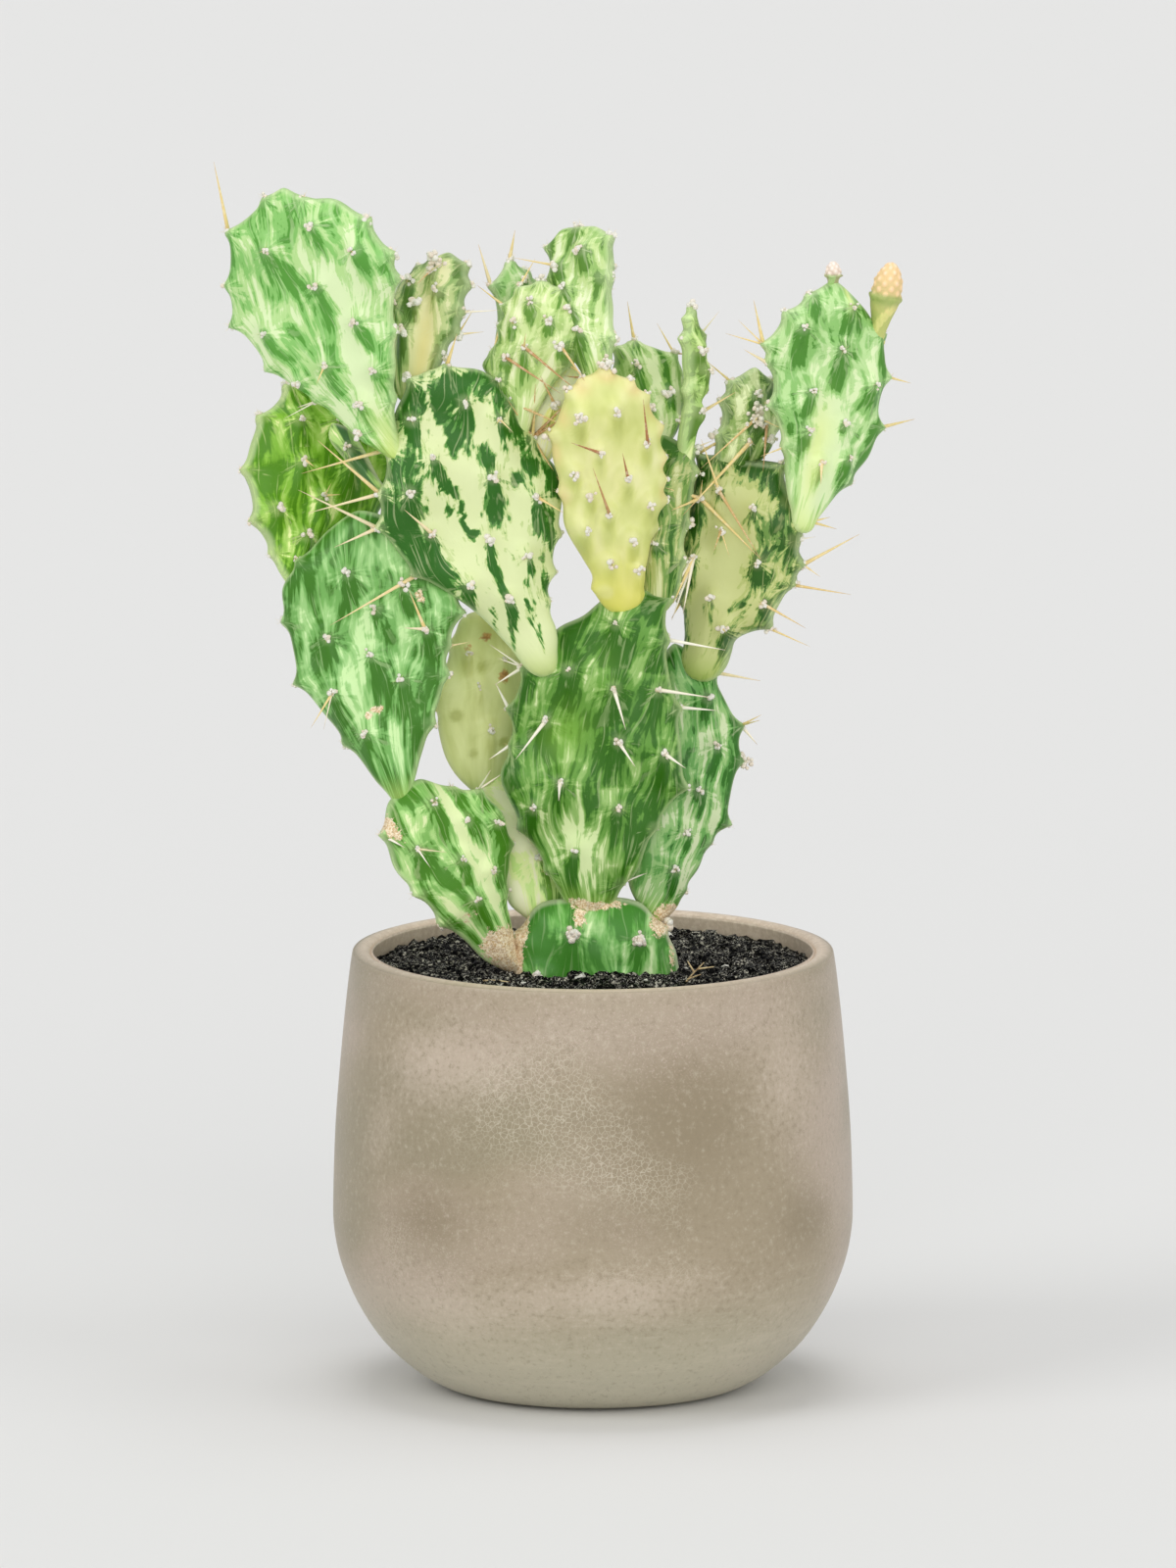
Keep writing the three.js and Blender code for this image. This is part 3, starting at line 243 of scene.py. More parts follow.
# The pads, in millimetres on the sheet that the outlines are drawn on: x to the right, z up. "set" is how
# far a pad's root stands behind the pad that it is "on", "lean" and "turn" tilt it, and "wave" is the height,
# length and phase of its bends. The edges run from root to tip: a point is an areole, or only a bend where a
# third value of 0 follows. "dots" are the areoles of the face. A needle runs from x, z to x, z and leans so
# far forward
pads = {
    "base_pad": dict(
        thick=21, on=None, set=-18, lean=0, turn=0, wave=(0, 30, 0), root=(2, 104), tip=(2, 151.5, 0),
        left=[(-15, 107, 0), (-24, 117, 0), (-25, 129, 0), (-24, 140.5), (-17, 149.5, 0), (-8, 151.5, 0)],
        right=[(16, 106, 0), (25, 115, 0), (27, 127), (25.5, 135, 0), (22, 143), (14, 150.5, 0)],
        dots=[(-6.5, 142.5), (14.5, 141), (-16.5, 129.5), (8, 127)],
        needles=[]),
    "central_pad": dict(
        thick=12.5, on="base_pad", set=-2, lean=0.02, turn=-4, wave=(2, 34, 0.4), root=(-1.5, 145.5),
        tip=(14, 247.8, 0),
        left=[(-9, 151.5, 0), (-14, 160), (-22.3, 173), (-28.3, 189, 0), (-25, 199.5), (-25.8, 210.5),
              (-21.5, 223.5), (-11.5, 235, 0), (-3, 239.5, 0), (4, 245, 0)],
        right=[(6.5, 150.5, 0), (9, 156.5), (13.5, 160, 0), (19.2, 173.5), (28.7, 186), (27, 198, 0),
               (26.5, 211), (23.2, 222, 0), (22.7, 232), (23.5, 245.5)],
        dots=[(7.5, 238.5), (7, 218), (-14, 208), (8.5, 201.5), (22.8, 197.5), (-9.5, 189), (-17.7, 181),
              (8.5, 181), (-5, 168), (-7, 224), (20.5, 217.5)],
        needles=[(7, 217.5, 10, 204, 7), (8.3, 201.5, 13, 192.5, 6), (-14.5, 207, -23.7, 194.7, 6),
                 (-9.5, 188.5, -10.5, 182, 7), (23, 197, 28.3, 192, 7), (22.7, 232, 40.5, 228.7, 6),
                 (21, 217.5, 36, 214, 7), (26.5, 211, 38, 210, 3), (-20, 223, -30, 218, 5),
                 (-25.8, 210, -29.8, 218.5, 4), (-25, 199.5, -32, 194.7, 3)]),
    "lower_left_pad": dict(
        thick=13.5, on="base_pad", set=-1, lean=-0.1, turn=18, wave=(1.2, 30, 1), root=(-21.5, 128.5),
        tip=(-53, 188.7, 0),
        left=[(-32, 131.5, 0), (-39.5, 138.7, 0), (-46.5, 143.5), (-54.3, 153), (-60.5, 160.5, 0),
              (-64.5, 171.5), (-62, 182, 0)],
        right=[(-23.8, 137, 0), (-25.5, 145, 0), (-27, 153.5), (-26, 161, 0), (-25.2, 168.5),
               (-28, 178.5, 0), (-35, 185.5), (-43.5, 186.3)],
        dots=[(-51.5, 182.5), (-41.5, 177), (-31.5, 176.5), (-56.5, 168), (-43, 165), (-33.5, 161),
              (-38.5, 152.5)],
        needles=[(-64.5, 172, -57.5, 167.5, 6)]),
    "lower_right_pad": dict(
        thick=11.5, on="base_pad", set=6, lean=0.1, turn=14, wave=(1.2, 32, 2), root=(19, 143.5),
        tip=(25, 231, 0),
        left=[(14, 149.5, 0), (10.8, 157.5, 0), (11.5, 170, 0), (14, 186), (16, 200, 0), (17.5, 212),
              (20, 224, 0)],
        right=[(25.3, 148.3, 0), (27.5, 153.8), (32.3, 161, 0), (35.5, 168.7), (41.7, 174.5),
               (42, 183, 0), (45.5, 194.5), (45.5, 205.5), (40.5, 213.5, 0), (37, 222), (31, 227.5, 0)],
        dots=[(23, 161.5), (30.5, 186), (33.5, 215), (36, 200), (27, 173)],
        needles=[(37, 222, 51.5, 219.3, 2), (45.5, 205.5, 50.5, 199.5, 1)]),
    "pale_stem_pad": dict(
        thick=10, on="base_pad", set=5.5, lean=0.22, turn=20, wave=(0.8, 30, 0), root=(-14.5, 143.5),
        tip=(-31.5, 190, 0),
        left=[(-24.3, 148.5, 0), (-27.3, 155, 0), (-28.5, 162, 0), (-29, 170, 0), (-31.5, 179, 0),
              (-35.5, 186)],
        right=[(-9.5, 149, 0), (-8.5, 158, 0), (-11, 170), (-15.5, 182, 0), (-23, 189.5, 0)],
        dots=[(-19, 163), (-22, 178)],
        needles=[]),
    "pale_pad": dict(
        thick=9, on="pale_stem_pad", set=1, lean=0.12, turn=16, wave=(0.6, 30, 1), root=(-32, 183.5),
        tip=(-35.5, 241, 0),
        left=[(-39.5, 187.3, 0), (-44.8, 194.5, 0), (-47.5, 204.5, 0), (-47.3, 211), (-49, 217),
              (-45.5, 223, 0), (-43.5, 231), (-40.5, 238.5, 0)],
        right=[(-28, 189, 0), (-23.5, 196, 0), (-20, 207), (-18.5, 218, 0), (-20, 229), (-28, 237.5)],
        dots=[(-33.5, 204), (-37, 218), (-40, 228), (-29, 226)],
        needles=[(-49, 217.5, -59, 216, 2), (-47.3, 211, -56, 204, 2)]),
    "left_big_pad": dict(
        thick=12.5, on="lower_left_pad", set=0, lean=0.16, turn=-10, wave=(1.8, 36, 0.8),
        root=(-57.5, 181), tip=(-72, 272, 0),
        left=[(-65.2, 186.8, 0), (-75.6, 199.5), (-82.3, 209, 0), (-90.8, 218.3), (-92, 230, 0),
              (-94.6, 237.5), (-95, 248, 0), (-90, 257), (-81, 266, 0)],
        right=[(-54.7, 188.3, 0), (-52.5, 196.5, 0), (-49, 205.5), (-46.8, 214, 0), (-44.5, 221),
               (-44.3, 230), (-39.7, 240), (-43, 251, 0), (-52, 262), (-62, 269.5, 0)],
        dots=[(-79.5, 233), (-78, 215.5), (-66.5, 227.5), (-65, 242), (-73.5, 253), (-57, 220),
              (-49.5, 235.5), (-68, 203.5), (-56, 249)],
        needles=[(-49.5, 235.5, -57.5, 235.5, 4), (-44.3, 230.5, -51, 231.5, 3)]),
    "left_back_pad": dict(
        thick=10, on="left_big_pad", set=4, lean=0.28, turn=28, wave=(1.2, 30, 2), root=(-90, 246.5),
        tip=(-90, 313, 0),
        left=[(-95.5, 252.7, 0), (-98, 258.5), (-104.3, 268.7), (-104, 276, 0), (-107, 284.7),
              (-104.5, 293, 0), (-102, 301.7), (-96.5, 306, 0), (-94, 311.5)],
        right=[(-86, 254, 0), (-79, 262, 0), (-68, 268), (-62.5, 278, 0), (-60.5, 288), (-65, 298, 0),
               (-75, 306), (-84, 311.5, 0)],
        dots=[(-92, 287), (-99.5, 272), (-91, 264), (-86, 276), (-81, 300), (-77, 286), (-93, 300)],
        needles=[]),
    "cream_front_pad": dict(
        thick=12.5, on="central_pad", set=-5, lean=0.06, turn=8, wave=(1.8, 34, 1.5), root=(-14.5, 220.5),
        tip=(-34.5, 315.3, 0),
        left=[(-21.5, 225.7, 0), (-27.7, 232, 0), (-34.3, 239, 0), (-43, 245.5, 0), (-54.5, 251.5),
              (-59.5, 259, 0), (-65.8, 266.5), (-65, 277), (-63, 290.7), (-60.5, 302, 0), (-56, 312.7),
              (-50, 315.3, 0), (-44.5, 317)],
        right=[(-11.2, 229, 0), (-11.2, 235, 0), (-14, 243.5), (-12.2, 252.7), (-10.5, 264.5),
               (-9.5, 275, 0), (-10.5, 284, 0), (-18.5, 294.5), (-25, 305.5), (-29.5, 313)],
        dots=[(-56.5, 300.5), (-40, 306), (-29.5, 300.7), (-50, 289), (-31.5, 283), (-18, 276.7),
              (-50.3, 265.5), (-33, 264), (-21, 258.5), (-38.5, 249.5), (-26.5, 245), (-57, 278)],
        needles=[(-65, 277, -84, 293.5, 5), (-65, 276, -87, 271, 4), (-65.8, 267, -90, 278.3, 5),
                 (-65.8, 266, -79, 260.5, 3), (-55, 252, -80.3, 236.3, 5), (-50.3, 266, -57.5, 272, 7),
                 (-63, 290.7, -89, 283.3, 4), (-18.5, 294.5, -17.5, 303, 6), (-18, 277, -9, 271, 5),
                 (-44.5, 316, -41.5, 326.5, 2)]),
    "top_left_pad": dict(
        thick=10.5, on="cream_front_pad", set=-1, lean=0.02, turn=-20, wave=(1.6, 36, 0.2),
        root=(-58.8, 287.5), tip=(-94.5, 371.3, 0),
        left=[(-67, 291.7, 0), (-75, 297.7, 0), (-84, 306), (-92, 311.3, 0), (-99.2, 315.5),
              (-104, 324, 0), (-110.3, 329.3), (-111.5, 342), (-111.3, 358.5), (-99.7, 368.5)],
        right=[(-59.7, 295, 0), (-60.8, 306), (-60.3, 316, 0), (-60.3, 327), (-60.9, 335, 0),
               (-59.2, 342.8), (-61, 350.7), (-68.5, 361.7), (-78.5, 367.6, 0), (-88, 368.2)],
        dots=[(-97, 354.5), (-83.5, 362), (-70.5, 354), (-81.5, 343.5), (-98, 329), (-70, 332),
              (-79, 318.7), (-64.5, 317), (-68.5, 307), (-69, 297.3), (-88, 313)],
        needles=[(-111.3, 358.5, -115.5, 379.5, 2)]),
    "narrow_left_pad": dict(
        thick=6, on="cream_front_pad", set=2, lean=0.5, turn=0, wave=(0, 30, 0), root=(-62.5, 276),
        tip=(-79.5, 299, 0),
        left=[(-70, 281, 0), (-76, 288, 0), (-80.5, 294, 0)],
        right=[(-66, 283, 0), (-70, 291, 0), (-74, 297, 0)],
        dots=[(-73.5, 290)], needles=[]),
    "yellow_pad": dict(
        thick=10, on="central_pad", set=-3, lean=-0.12, turn=12, wave=(0.9, 28, 1), root=(9.3, 240),
        tip=(3.5, 316.3),
        left=[(2.7, 247.8), (-3, 256.8, 0), (-8.6, 267, 0), (-9.8, 277.5), (-12.3, 288, 0),
              (-12.8, 295.5), (-9.7, 303, 0), (-7.7, 309), (-3.2, 312.7)],
        right=[(13, 247.5, 0), (16.5, 257, 0), (19, 266.5), (22, 275), (21.5, 281.5), (21.7, 288.5),
               (20.7, 298), (16.3, 307.7), (11.3, 312.3)],
        dots=[(5.5, 304.5), (-5.5, 302.5), (14.7, 295), (0.3, 292), (8.7, 284), (-7, 285), (16, 276),
              (3, 273), (-2.7, 279), (10.7, 265), (3.7, 258), (12.5, 255.5), (-4, 268)],
        needles=[(0, 292, -6.7, 292.5, 5), (3.3, 273, 0, 284.7, 7), (9.3, 283.5, 9, 289.3, 7),
                 (15.2, 295, 15.3, 306, 6)]),
    "upper_pale_pad": dict(
        thick=8.5, on="cream_front_pad", set=-0.5, lean=0.06, turn=-16, wave=(0.9, 26, 2),
        root=(-22, 293.5), tip=(-15.5, 343.3),
        left=[(-26, 303, 0), (-30, 311, 0), (-33.8, 317, 0), (-30.5, 321.3), (-28.3, 329), (-27.3, 335.5),
              (-22.5, 341.3)],
        right=[(-17.5, 301.5, 0), (-13, 309.5, 0), (-7, 316.7), (-0.7, 325.3), (-2.2, 334),
               (-8.7, 340.7)],
        dots=[(-17.5, 337.3), (-11.5, 331.5), (-22.5, 331), (-8, 323.3), (-19, 323), (-25, 320),
              (-27, 313)],
        needles=[(-28.3, 329, -31, 319.5, 3)]),
    "back_tip_pad": dict(
        thick=7, on="cream_front_pad", set=5, lean=0.3, turn=28, wave=(0.6, 26, 0), root=(-26.5, 304),
        tip=(-25.5, 350),
        left=[(-29.5, 314, 0), (-29.7, 324, 0), (-29, 333, 0), (-31.2, 341.7), (-28, 346, 0)],
        right=[(-21, 311, 0), (-17, 320), (-15.5, 332, 0), (-17.3, 342.5), (-20.5, 346.3)],
        dots=[(-24, 343)],
        needles=[(-25.5, 349.5, -23.8, 359, 1), (-31.2, 341.7, -35, 354.5, 1)]),
    "olive_pad": dict(
        thick=6, on="cream_front_pad", set=3, lean=0.1, turn=0, wave=(0, 26, 0), root=(-17.8, 284),
        tip=(-7, 319, 0),
        left=[(-20, 292.5, 0), (-20, 301, 0), (-14.5, 311)],
        right=[(-10, 292, 0), (-6.5, 301, 0), (-3.5, 311, 0)],
        dots=[(-12, 305.5)], needles=[(-12, 306, -16, 313.5, 4)]),
    "narrow_top_pad": dict(
        thick=9, on="yellow_pad", set=4, lean=0.3, turn=-32, wave=(0.8, 24, 0.5), root=(1, 306),
        tip=(-4, 360),
        left=[(-3.5, 315, 0), (-8, 322, 0), (-11.5, 331), (-12.7, 343.7), (-13.8, 353.5), (-9.3, 359, 0)],
        right=[(5, 316, 0), (6.3, 325), (5.7, 335, 0), (5, 343.7), (5.8, 350, 0), (5.5, 356.8),
               (1, 359.8, 0)],
        dots=[(-7.5, 347.3), (0, 352.5), (-4.5, 340.5), (-2, 334), (0, 327.5)],
        needles=[]),
    "twisted_pad": dict(
        thick=11, on="cream_front_pad", set=4, lean=0.2, turn=-26, wave=(1, 22, 1), root=(-54, 304),
        tip=(-44, 352, 0),
        left=[(-60.7, 308.5, 0), (-61.3, 318, 0), (-61.3, 327.3), (-60.8, 336, 0), (-58.8, 342.5, 0),
              (-53, 347.8), (-48.5, 350)],
        right=[(-47.5, 310, 0), (-46.3, 320.5), (-41.2, 326.5), (-40.2, 333.3), (-37.9, 341.8),
               (-38.7, 348.3)],
        dots=[(-57.7, 335.3), (-54.3, 326.7), (-50.2, 335), (-52.7, 342.3), (-45.7, 345), (-44.3, 339.3),
              (-45, 348.5)],
        needles=[]),
    "tall_back_pad": dict(
        thick=10, on="central_pad", set=3, lean=0.16, turn=-18, wave=(1, 28, 1), root=(18.5, 238.5),
        tip=(19, 297, 0),
        left=[(13.5, 247, 0), (9.5, 256), (7, 268), (7.5, 280), (10.5, 291)],
        right=[(26.3, 246.5, 0), (28, 256.3), (29, 267.8), (30.5, 276, 0), (31.7, 284), (31, 291.5)],
        dots=[(21.5, 262), (16, 272), (22, 279), (15, 286)],
        needles=[]),
    "upper_back_pad": dict(
        thick=9, on="tall_back_pad", set=1, lean=0.14, turn=14, wave=(1, 24, 2), root=(18, 287.5),
        tip=(12.5, 325.3),
        left=[(12.5, 294, 0), (8, 303, 0), (5, 313), (6.7, 323)],
        right=[(23.5, 293, 0), (27, 300, 0), (28.2, 308.5), (27.5, 315.5, 0), (24.8, 321),
               (18.5, 322.8, 0)],
        dots=[(11.7, 317.3), (21.7, 308.3), (25, 299.8), (16, 304)],
        needles=[(12, 325, 10.5, 337, 1), (6.7, 323.5, 0.5, 340, 2)]),
    "edge_pad": dict(
        thick=6, on="tall_back_pad", set=1, lean=0.02, turn=45, wave=(0, 26, 0), root=(28, 281),
        tip=(30.2, 335.3),
        left=[(26.5, 292, 0), (27.7, 301, 0), (28.7, 309), (28, 317, 0), (27.6, 325), (28.8, 331)],
        right=[(30, 291.5, 0), (31.7, 301.7), (33.5, 309.7), (34, 318, 0), (33, 326.7)],
        dots=[(31.5, 316.5), (29.7, 323), (29.7, 303.5)],
        needles=[(32, 302.3, 43.5, 308.7, 2)]),
    "cream_right_pad": dict(
        thick=12, on="lower_right_pad", set=-4, lean=-0.02, turn=-18, wave=(1.2, 30, 0), root=(33, 219),
        tip=(47, 286.7, 0),
        left=[(29.7, 226.5, 0), (28.3, 236, 0), (27.3, 244.5), (25.7, 256), (26.7, 266, 0), (28.5, 277),
              (32.5, 290), (39, 289.5)],
        right=[(40, 227.3, 0), (44.5, 232.7, 0), (54, 235.5), (57.3, 243.5, 0), (61.2, 249),
               (64.3, 255.3), (62.5, 263), (66.7, 268.5), (60.7, 275.5), (58, 286.5)],
        dots=[(33.5, 258.7), (35.5, 277), (41.5, 279), (52, 274), (42, 267), (53, 257), (39, 246),
              (42.3, 236.3), (54.3, 244)],
        needles=[(64.3, 256, 81.5, 264.7, 3), (61.2, 248.3, 79, 246, 3), (66.7, 268.5, 74.5, 266.3, 2),
                 (66.7, 268.7, 72.5, 270, 0), (54.5, 243.7, 65, 235.5, 4), (36, 277, 51.3, 257, 7),
                 (33, 258.5, 24.5, 243, 6), (29.2, 244.5, 24, 238.5, 4), (33.5, 287.5, 45, 297.5, 4)]),
    "small_right_pad": dict(
        thick=8.5, on="cream_right_pad", set=2, lean=0.2, turn=26, wave=(0.7, 22, 0), root=(43.3, 282),
        tip=(49.7, 316.7, 0),
        left=[(37.6, 288, 0), (38.4, 295.5), (40, 300.5, 0), (39.3, 306), (42, 312.3)],
        right=[(49, 285.7, 0), (54, 291.3, 0), (56.5, 298.5), (56.5, 306, 0), (54, 312.7)],
        dots=[(46.3, 301.3), (46.7, 308.7), (44, 293.5), (49.3, 299.5), (51, 294.3)],
        needles=[]),
    "top_right_pad": dict(
        thick=9.5, on="cream_right_pad", set=-2, lean=0.1, turn=20, wave=(1.4, 32, 1), root=(63.8, 265),
        tip=(73.5, 343.3, 0),
        left=[(60.3, 273.5, 0), (58.8, 283, 0), (58.3, 291.5), (56.7, 298.5, 0), (53.8, 304.3),
              (55.3, 311, 0), (53.5, 317.5), (52, 323.3), (59, 333.3), (66.3, 339)],
        right=[(69.3, 270.5, 0), (78, 280.5), (84, 288.7, 0), (88.4, 298), (87.2, 304.5, 0),
               (90.3, 313.5), (89, 321, 0), (88.8, 327), (82, 335.7, 0)],
        dots=[(76.5, 336), (61.5, 329.5), (73, 322.7), (83.5, 312), (64, 310), (63, 297.5), (66.5, 287.7),
              (75.3, 289.3), (74, 300)],
        needles=[(90.3, 313.3, 97.3, 311.5, 2), (88.4, 298, 98.5, 300.5, 1), (52, 324, 49, 337, 1),
                 (53.5, 317.5, 46, 321.7, 2), (60.5, 275, 69.5, 280, 5)]),
}

# How a pad is formed and how fine its skin is: lengths in millimetres, the others are shares and powers
skin = dict(
    rowStep=0.95, fewestRows=24, columnStep=1.0, fewestColumns=14, crowd=0.6, hollow=0.26, roundShare=0.42,
    roundPower=2.2, rimSwell=1.2, rimWide=2.4, bluntPower=4, bluntFade=1.6, waveEase=14, waveStill=0.35,
    waveSpread=26, waveSeam=6, backRim=3, tubercleHeight=3.3, tubercleWide=3.0, tuberclePower=1.4,
    tubercleUp=3.0, tubercleDown=9.0, tubercleEase=2, ripple=0.28, rippleSize=7.0, rippleEase=5)


class Pad:  # a pad's place and outline, worked out as the model's own source does
    def __init__(self, name, row):
        self.name = name
        self.row = row
        self.root = np.array(row["root"], float)
        self.tip = np.array(row["tip"][:2], float)
        self.along = self.tip - self.root
        self.length = np.linalg.norm(self.along)
        self.along = self.along / self.length
        self.across = np.array([self.along[1], -self.along[0]])
        side = math.tan(math.radians(row["turn"]))
        self.slopeX = self.along[0] * row["lean"] + self.across[0] * side
        self.slopeZ = self.along[1] * row["lean"] + self.across[1] * side
        self.normal = unit(np.array([self.slopeX, -(1 - sheetDrop * self.slopeZ), self.slopeZ]))
        parent = plant.get(row["on"])
        self.depth = row["set"] + (float(parent.depthAt(self.root[None])[0]) if parent else 0)
        rows = max(skin["fewestRows"], round(self.length / skin["rowStep"]))
        self.leftRows = edgeRows([row["root"], *row["left"], row["tip"]], rows, 1)
        self.rightRows = edgeRows([row["root"], *row["right"], row["tip"]], rows, -1)
        self.rimDots = np.array([p[:2] for p in [*row["left"], *row["right"], row["tip"]] if len(p) < 3])
        looks = looksOf(name)
        self.swellRim()
        self.bluntRoot(looks["blunt"])
        self.loop = np.vstack([self.leftRows, self.rightRows[1:-1][::-1]])
        self.widest = float(np.linalg.norm(self.leftRows - self.rightRows, axis=1).max())
        self.rounding = min(row["thick"], skin["roundShare"] * self.widest)
        self.relief = looks["relief"]
        self.dots = np.array(row["dots"], float)
        self.backDots = self.mirrored(self.dots)

    def ways(self):  # from the right edge to the left one, row by row: the direction and half the width
        way = self.leftRows - self.rightRows
        half = np.linalg.norm(way, axis=1) / 2
        return way / np.maximum(2 * half, 1e-6)[:, None], half

    def swellRim(self):  # the edge stands out a little at each of its areoles
        way = self.ways()[0]
        for edge, side in ((self.leftRows, 1), (self.rightRows, -1)):
            push = np.zeros(len(edge))
            for dot in self.rimDots:
                push = np.maximum(push, np.exp(-(np.hypot(*(edge - dot).T) / skin["rimWide"]) ** 2))
            push[0] = push[-1] = 0
            edge += way * side * (skin["rimSwell"] * push)[:, None]

    def bluntRoot(self, radius):  # the root ends round instead of in a point
        if not radius:
            return
        way, half = self.ways()
        middle = (self.leftRows + self.rightRows) / 2
        height = np.clip((middle - self.root) @ self.along, 0, None)
        ball = radius * np.sqrt(1 - (1 - np.minimum(height / radius, 1)) ** 2)
        ball *= np.exp(-(np.maximum(height - radius, 0) / (skin["bluntFade"] * radius)) ** 2)
        power = skin["bluntPower"]
        wider = ((half ** power + ball ** power) ** (1 / power))[:, None]
        wider[0] = wider[-1] = 0
        self.leftRows = np.where(wider > 0, middle + way * wider, self.leftRows)
        self.rightRows = np.where(wider > 0, middle - way * wider, self.rightRows)

    def local(self, flat):
        step = flat - self.root
        return step @ self.across, step @ self.along

    def depthAt(self, flat):
        u, v = self.local(flat)
        height, length, phase = self.row["wave"]
        calm = np.clip(v / skin["waveEase"], 0, 1)
        wave = height * calm * np.sin(2 * np.pi * v / length + phase)
        wave = wave * (skin["waveStill"] + np.abs(u) / skin["waveSpread"])
        wave = wave * np.sign(u + 0.001) * np.minimum(1, np.abs(u) / skin["waveSeam"])
        step = flat - self.root
        return self.depth + step[:, 0] * self.slopeX + step[:, 1] * self.slopeZ + wave

    def lift(self, flat, out):  # from the sheet to the pad's own place, and out from its middle
        y = self.depthAt(flat)
        place = np.column_stack([flat[:, 0], y, flat[:, 1] - sheetDrop * y])
        return place + np.outer(out, self.normal)

    def edgeGap(self, flat):
        best = np.full(len(flat), np.inf)
        for a, b in zip(self.loop, np.roll(self.loop, -1, axis=0)):
            e = b - a
            t = np.clip(((flat - a) @ e) / max(e @ e, 1e-9), 0, 1)
            best = np.minimum(best, np.hypot(*(flat - a - t[:, None] * e).T))
        return best

    def isInside(self, x, z):
        inside = False
        for (ax, az), (bx, bz) in zip(self.loop, np.roll(self.loop, 1, axis=0)):
            if (az > z) != (bz > z) and x < (bx - ax) * (z - az) / (bz - az) + ax:
                inside = not inside
        return inside

    def mirrored(self, dots):  # the areoles of the back face
        found = []
        for dot in dots:
            u, v = self.local(dot[None])
            place = self.root + v[0] * self.along - u[0] * self.across
            if self.isInside(*place) and self.edgeGap(place[None])[0] > skin["backRim"]:
                found.append(place)
        return np.array(found).reshape(-1, 2)

    def rise(self, flat, gap, dots):  # half the thickness, with the tubercles on it
        inside, power = np.minimum(1, gap / self.rounding), skin["roundPower"]
        body = self.row["thick"] / 2 * (1 - (1 - inside) ** power) ** (1 / power)
        tubercle = np.zeros(len(flat))
        for dot in dots:
            u, v = self.local(flat - dot + self.root)
            reach = np.where(v > 0, skin["tubercleUp"], skin["tubercleDown"])
            crest = np.exp(-(np.abs(u) / skin["tubercleWide"]) ** skin["tuberclePower"] - (v / reach) ** 2)
            tubercle = np.maximum(tubercle, crest)
        crests = self.relief * skin["tubercleHeight"] * tubercle
        return body + crests * np.minimum(1, gap / skin["tubercleEase"])


def edgeCurve(points, index, t, side):  # the edge runs in a hollow from areole to areole
    p0, p1 = np.array(points[index][:2]), np.array(points[index + 1][:2])
    step = p1 - p0
    inward = np.array([step[1], -step[0]]) * skin["hollow"] * side
    last = len(points) - 2
    m0, m1 = step + inward, step - inward
    if len(points[index]) > 2 or index == 0:
        m0 = (p1 - np.array(points[index - 1][:2])) / 2 if index > 0 else step * 0.4 - inward * 2
    if len(points[index + 1]) > 2:
        m1 = (np.array(points[index + 2][:2]) - p0) / 2 if index < last else step * 0.6 + inward
    return ((2 * t ** 3 - 3 * t ** 2 + 1) * p0 + (t ** 3 - 2 * t ** 2 + t) * m0
            + (3 * t ** 2 - 2 * t ** 3) * p1 + (t ** 3 - t ** 2) * m1)


def edgeRows(points, rows, side):
    flat = np.array([p[:2] for p in points], float)
    runs = np.concatenate([[0], np.cumsum(np.hypot(*np.diff(flat, axis=0).T))])
    last = len(points) - 1
    pins = [round(run / runs[-1] * rows) for run in runs]
    for i in range(1, last):
        pins[i] = max(pins[i], pins[i - 1] + 1)
    found = []
    for i in range(last):
        for row in range(pins[i], pins[i + 1]):
            found.append(edgeCurve(points, i, (row - pins[i]) / (pins[i + 1] - pins[i]), side))
    found.append(flat[-1])
    return np.array(found)


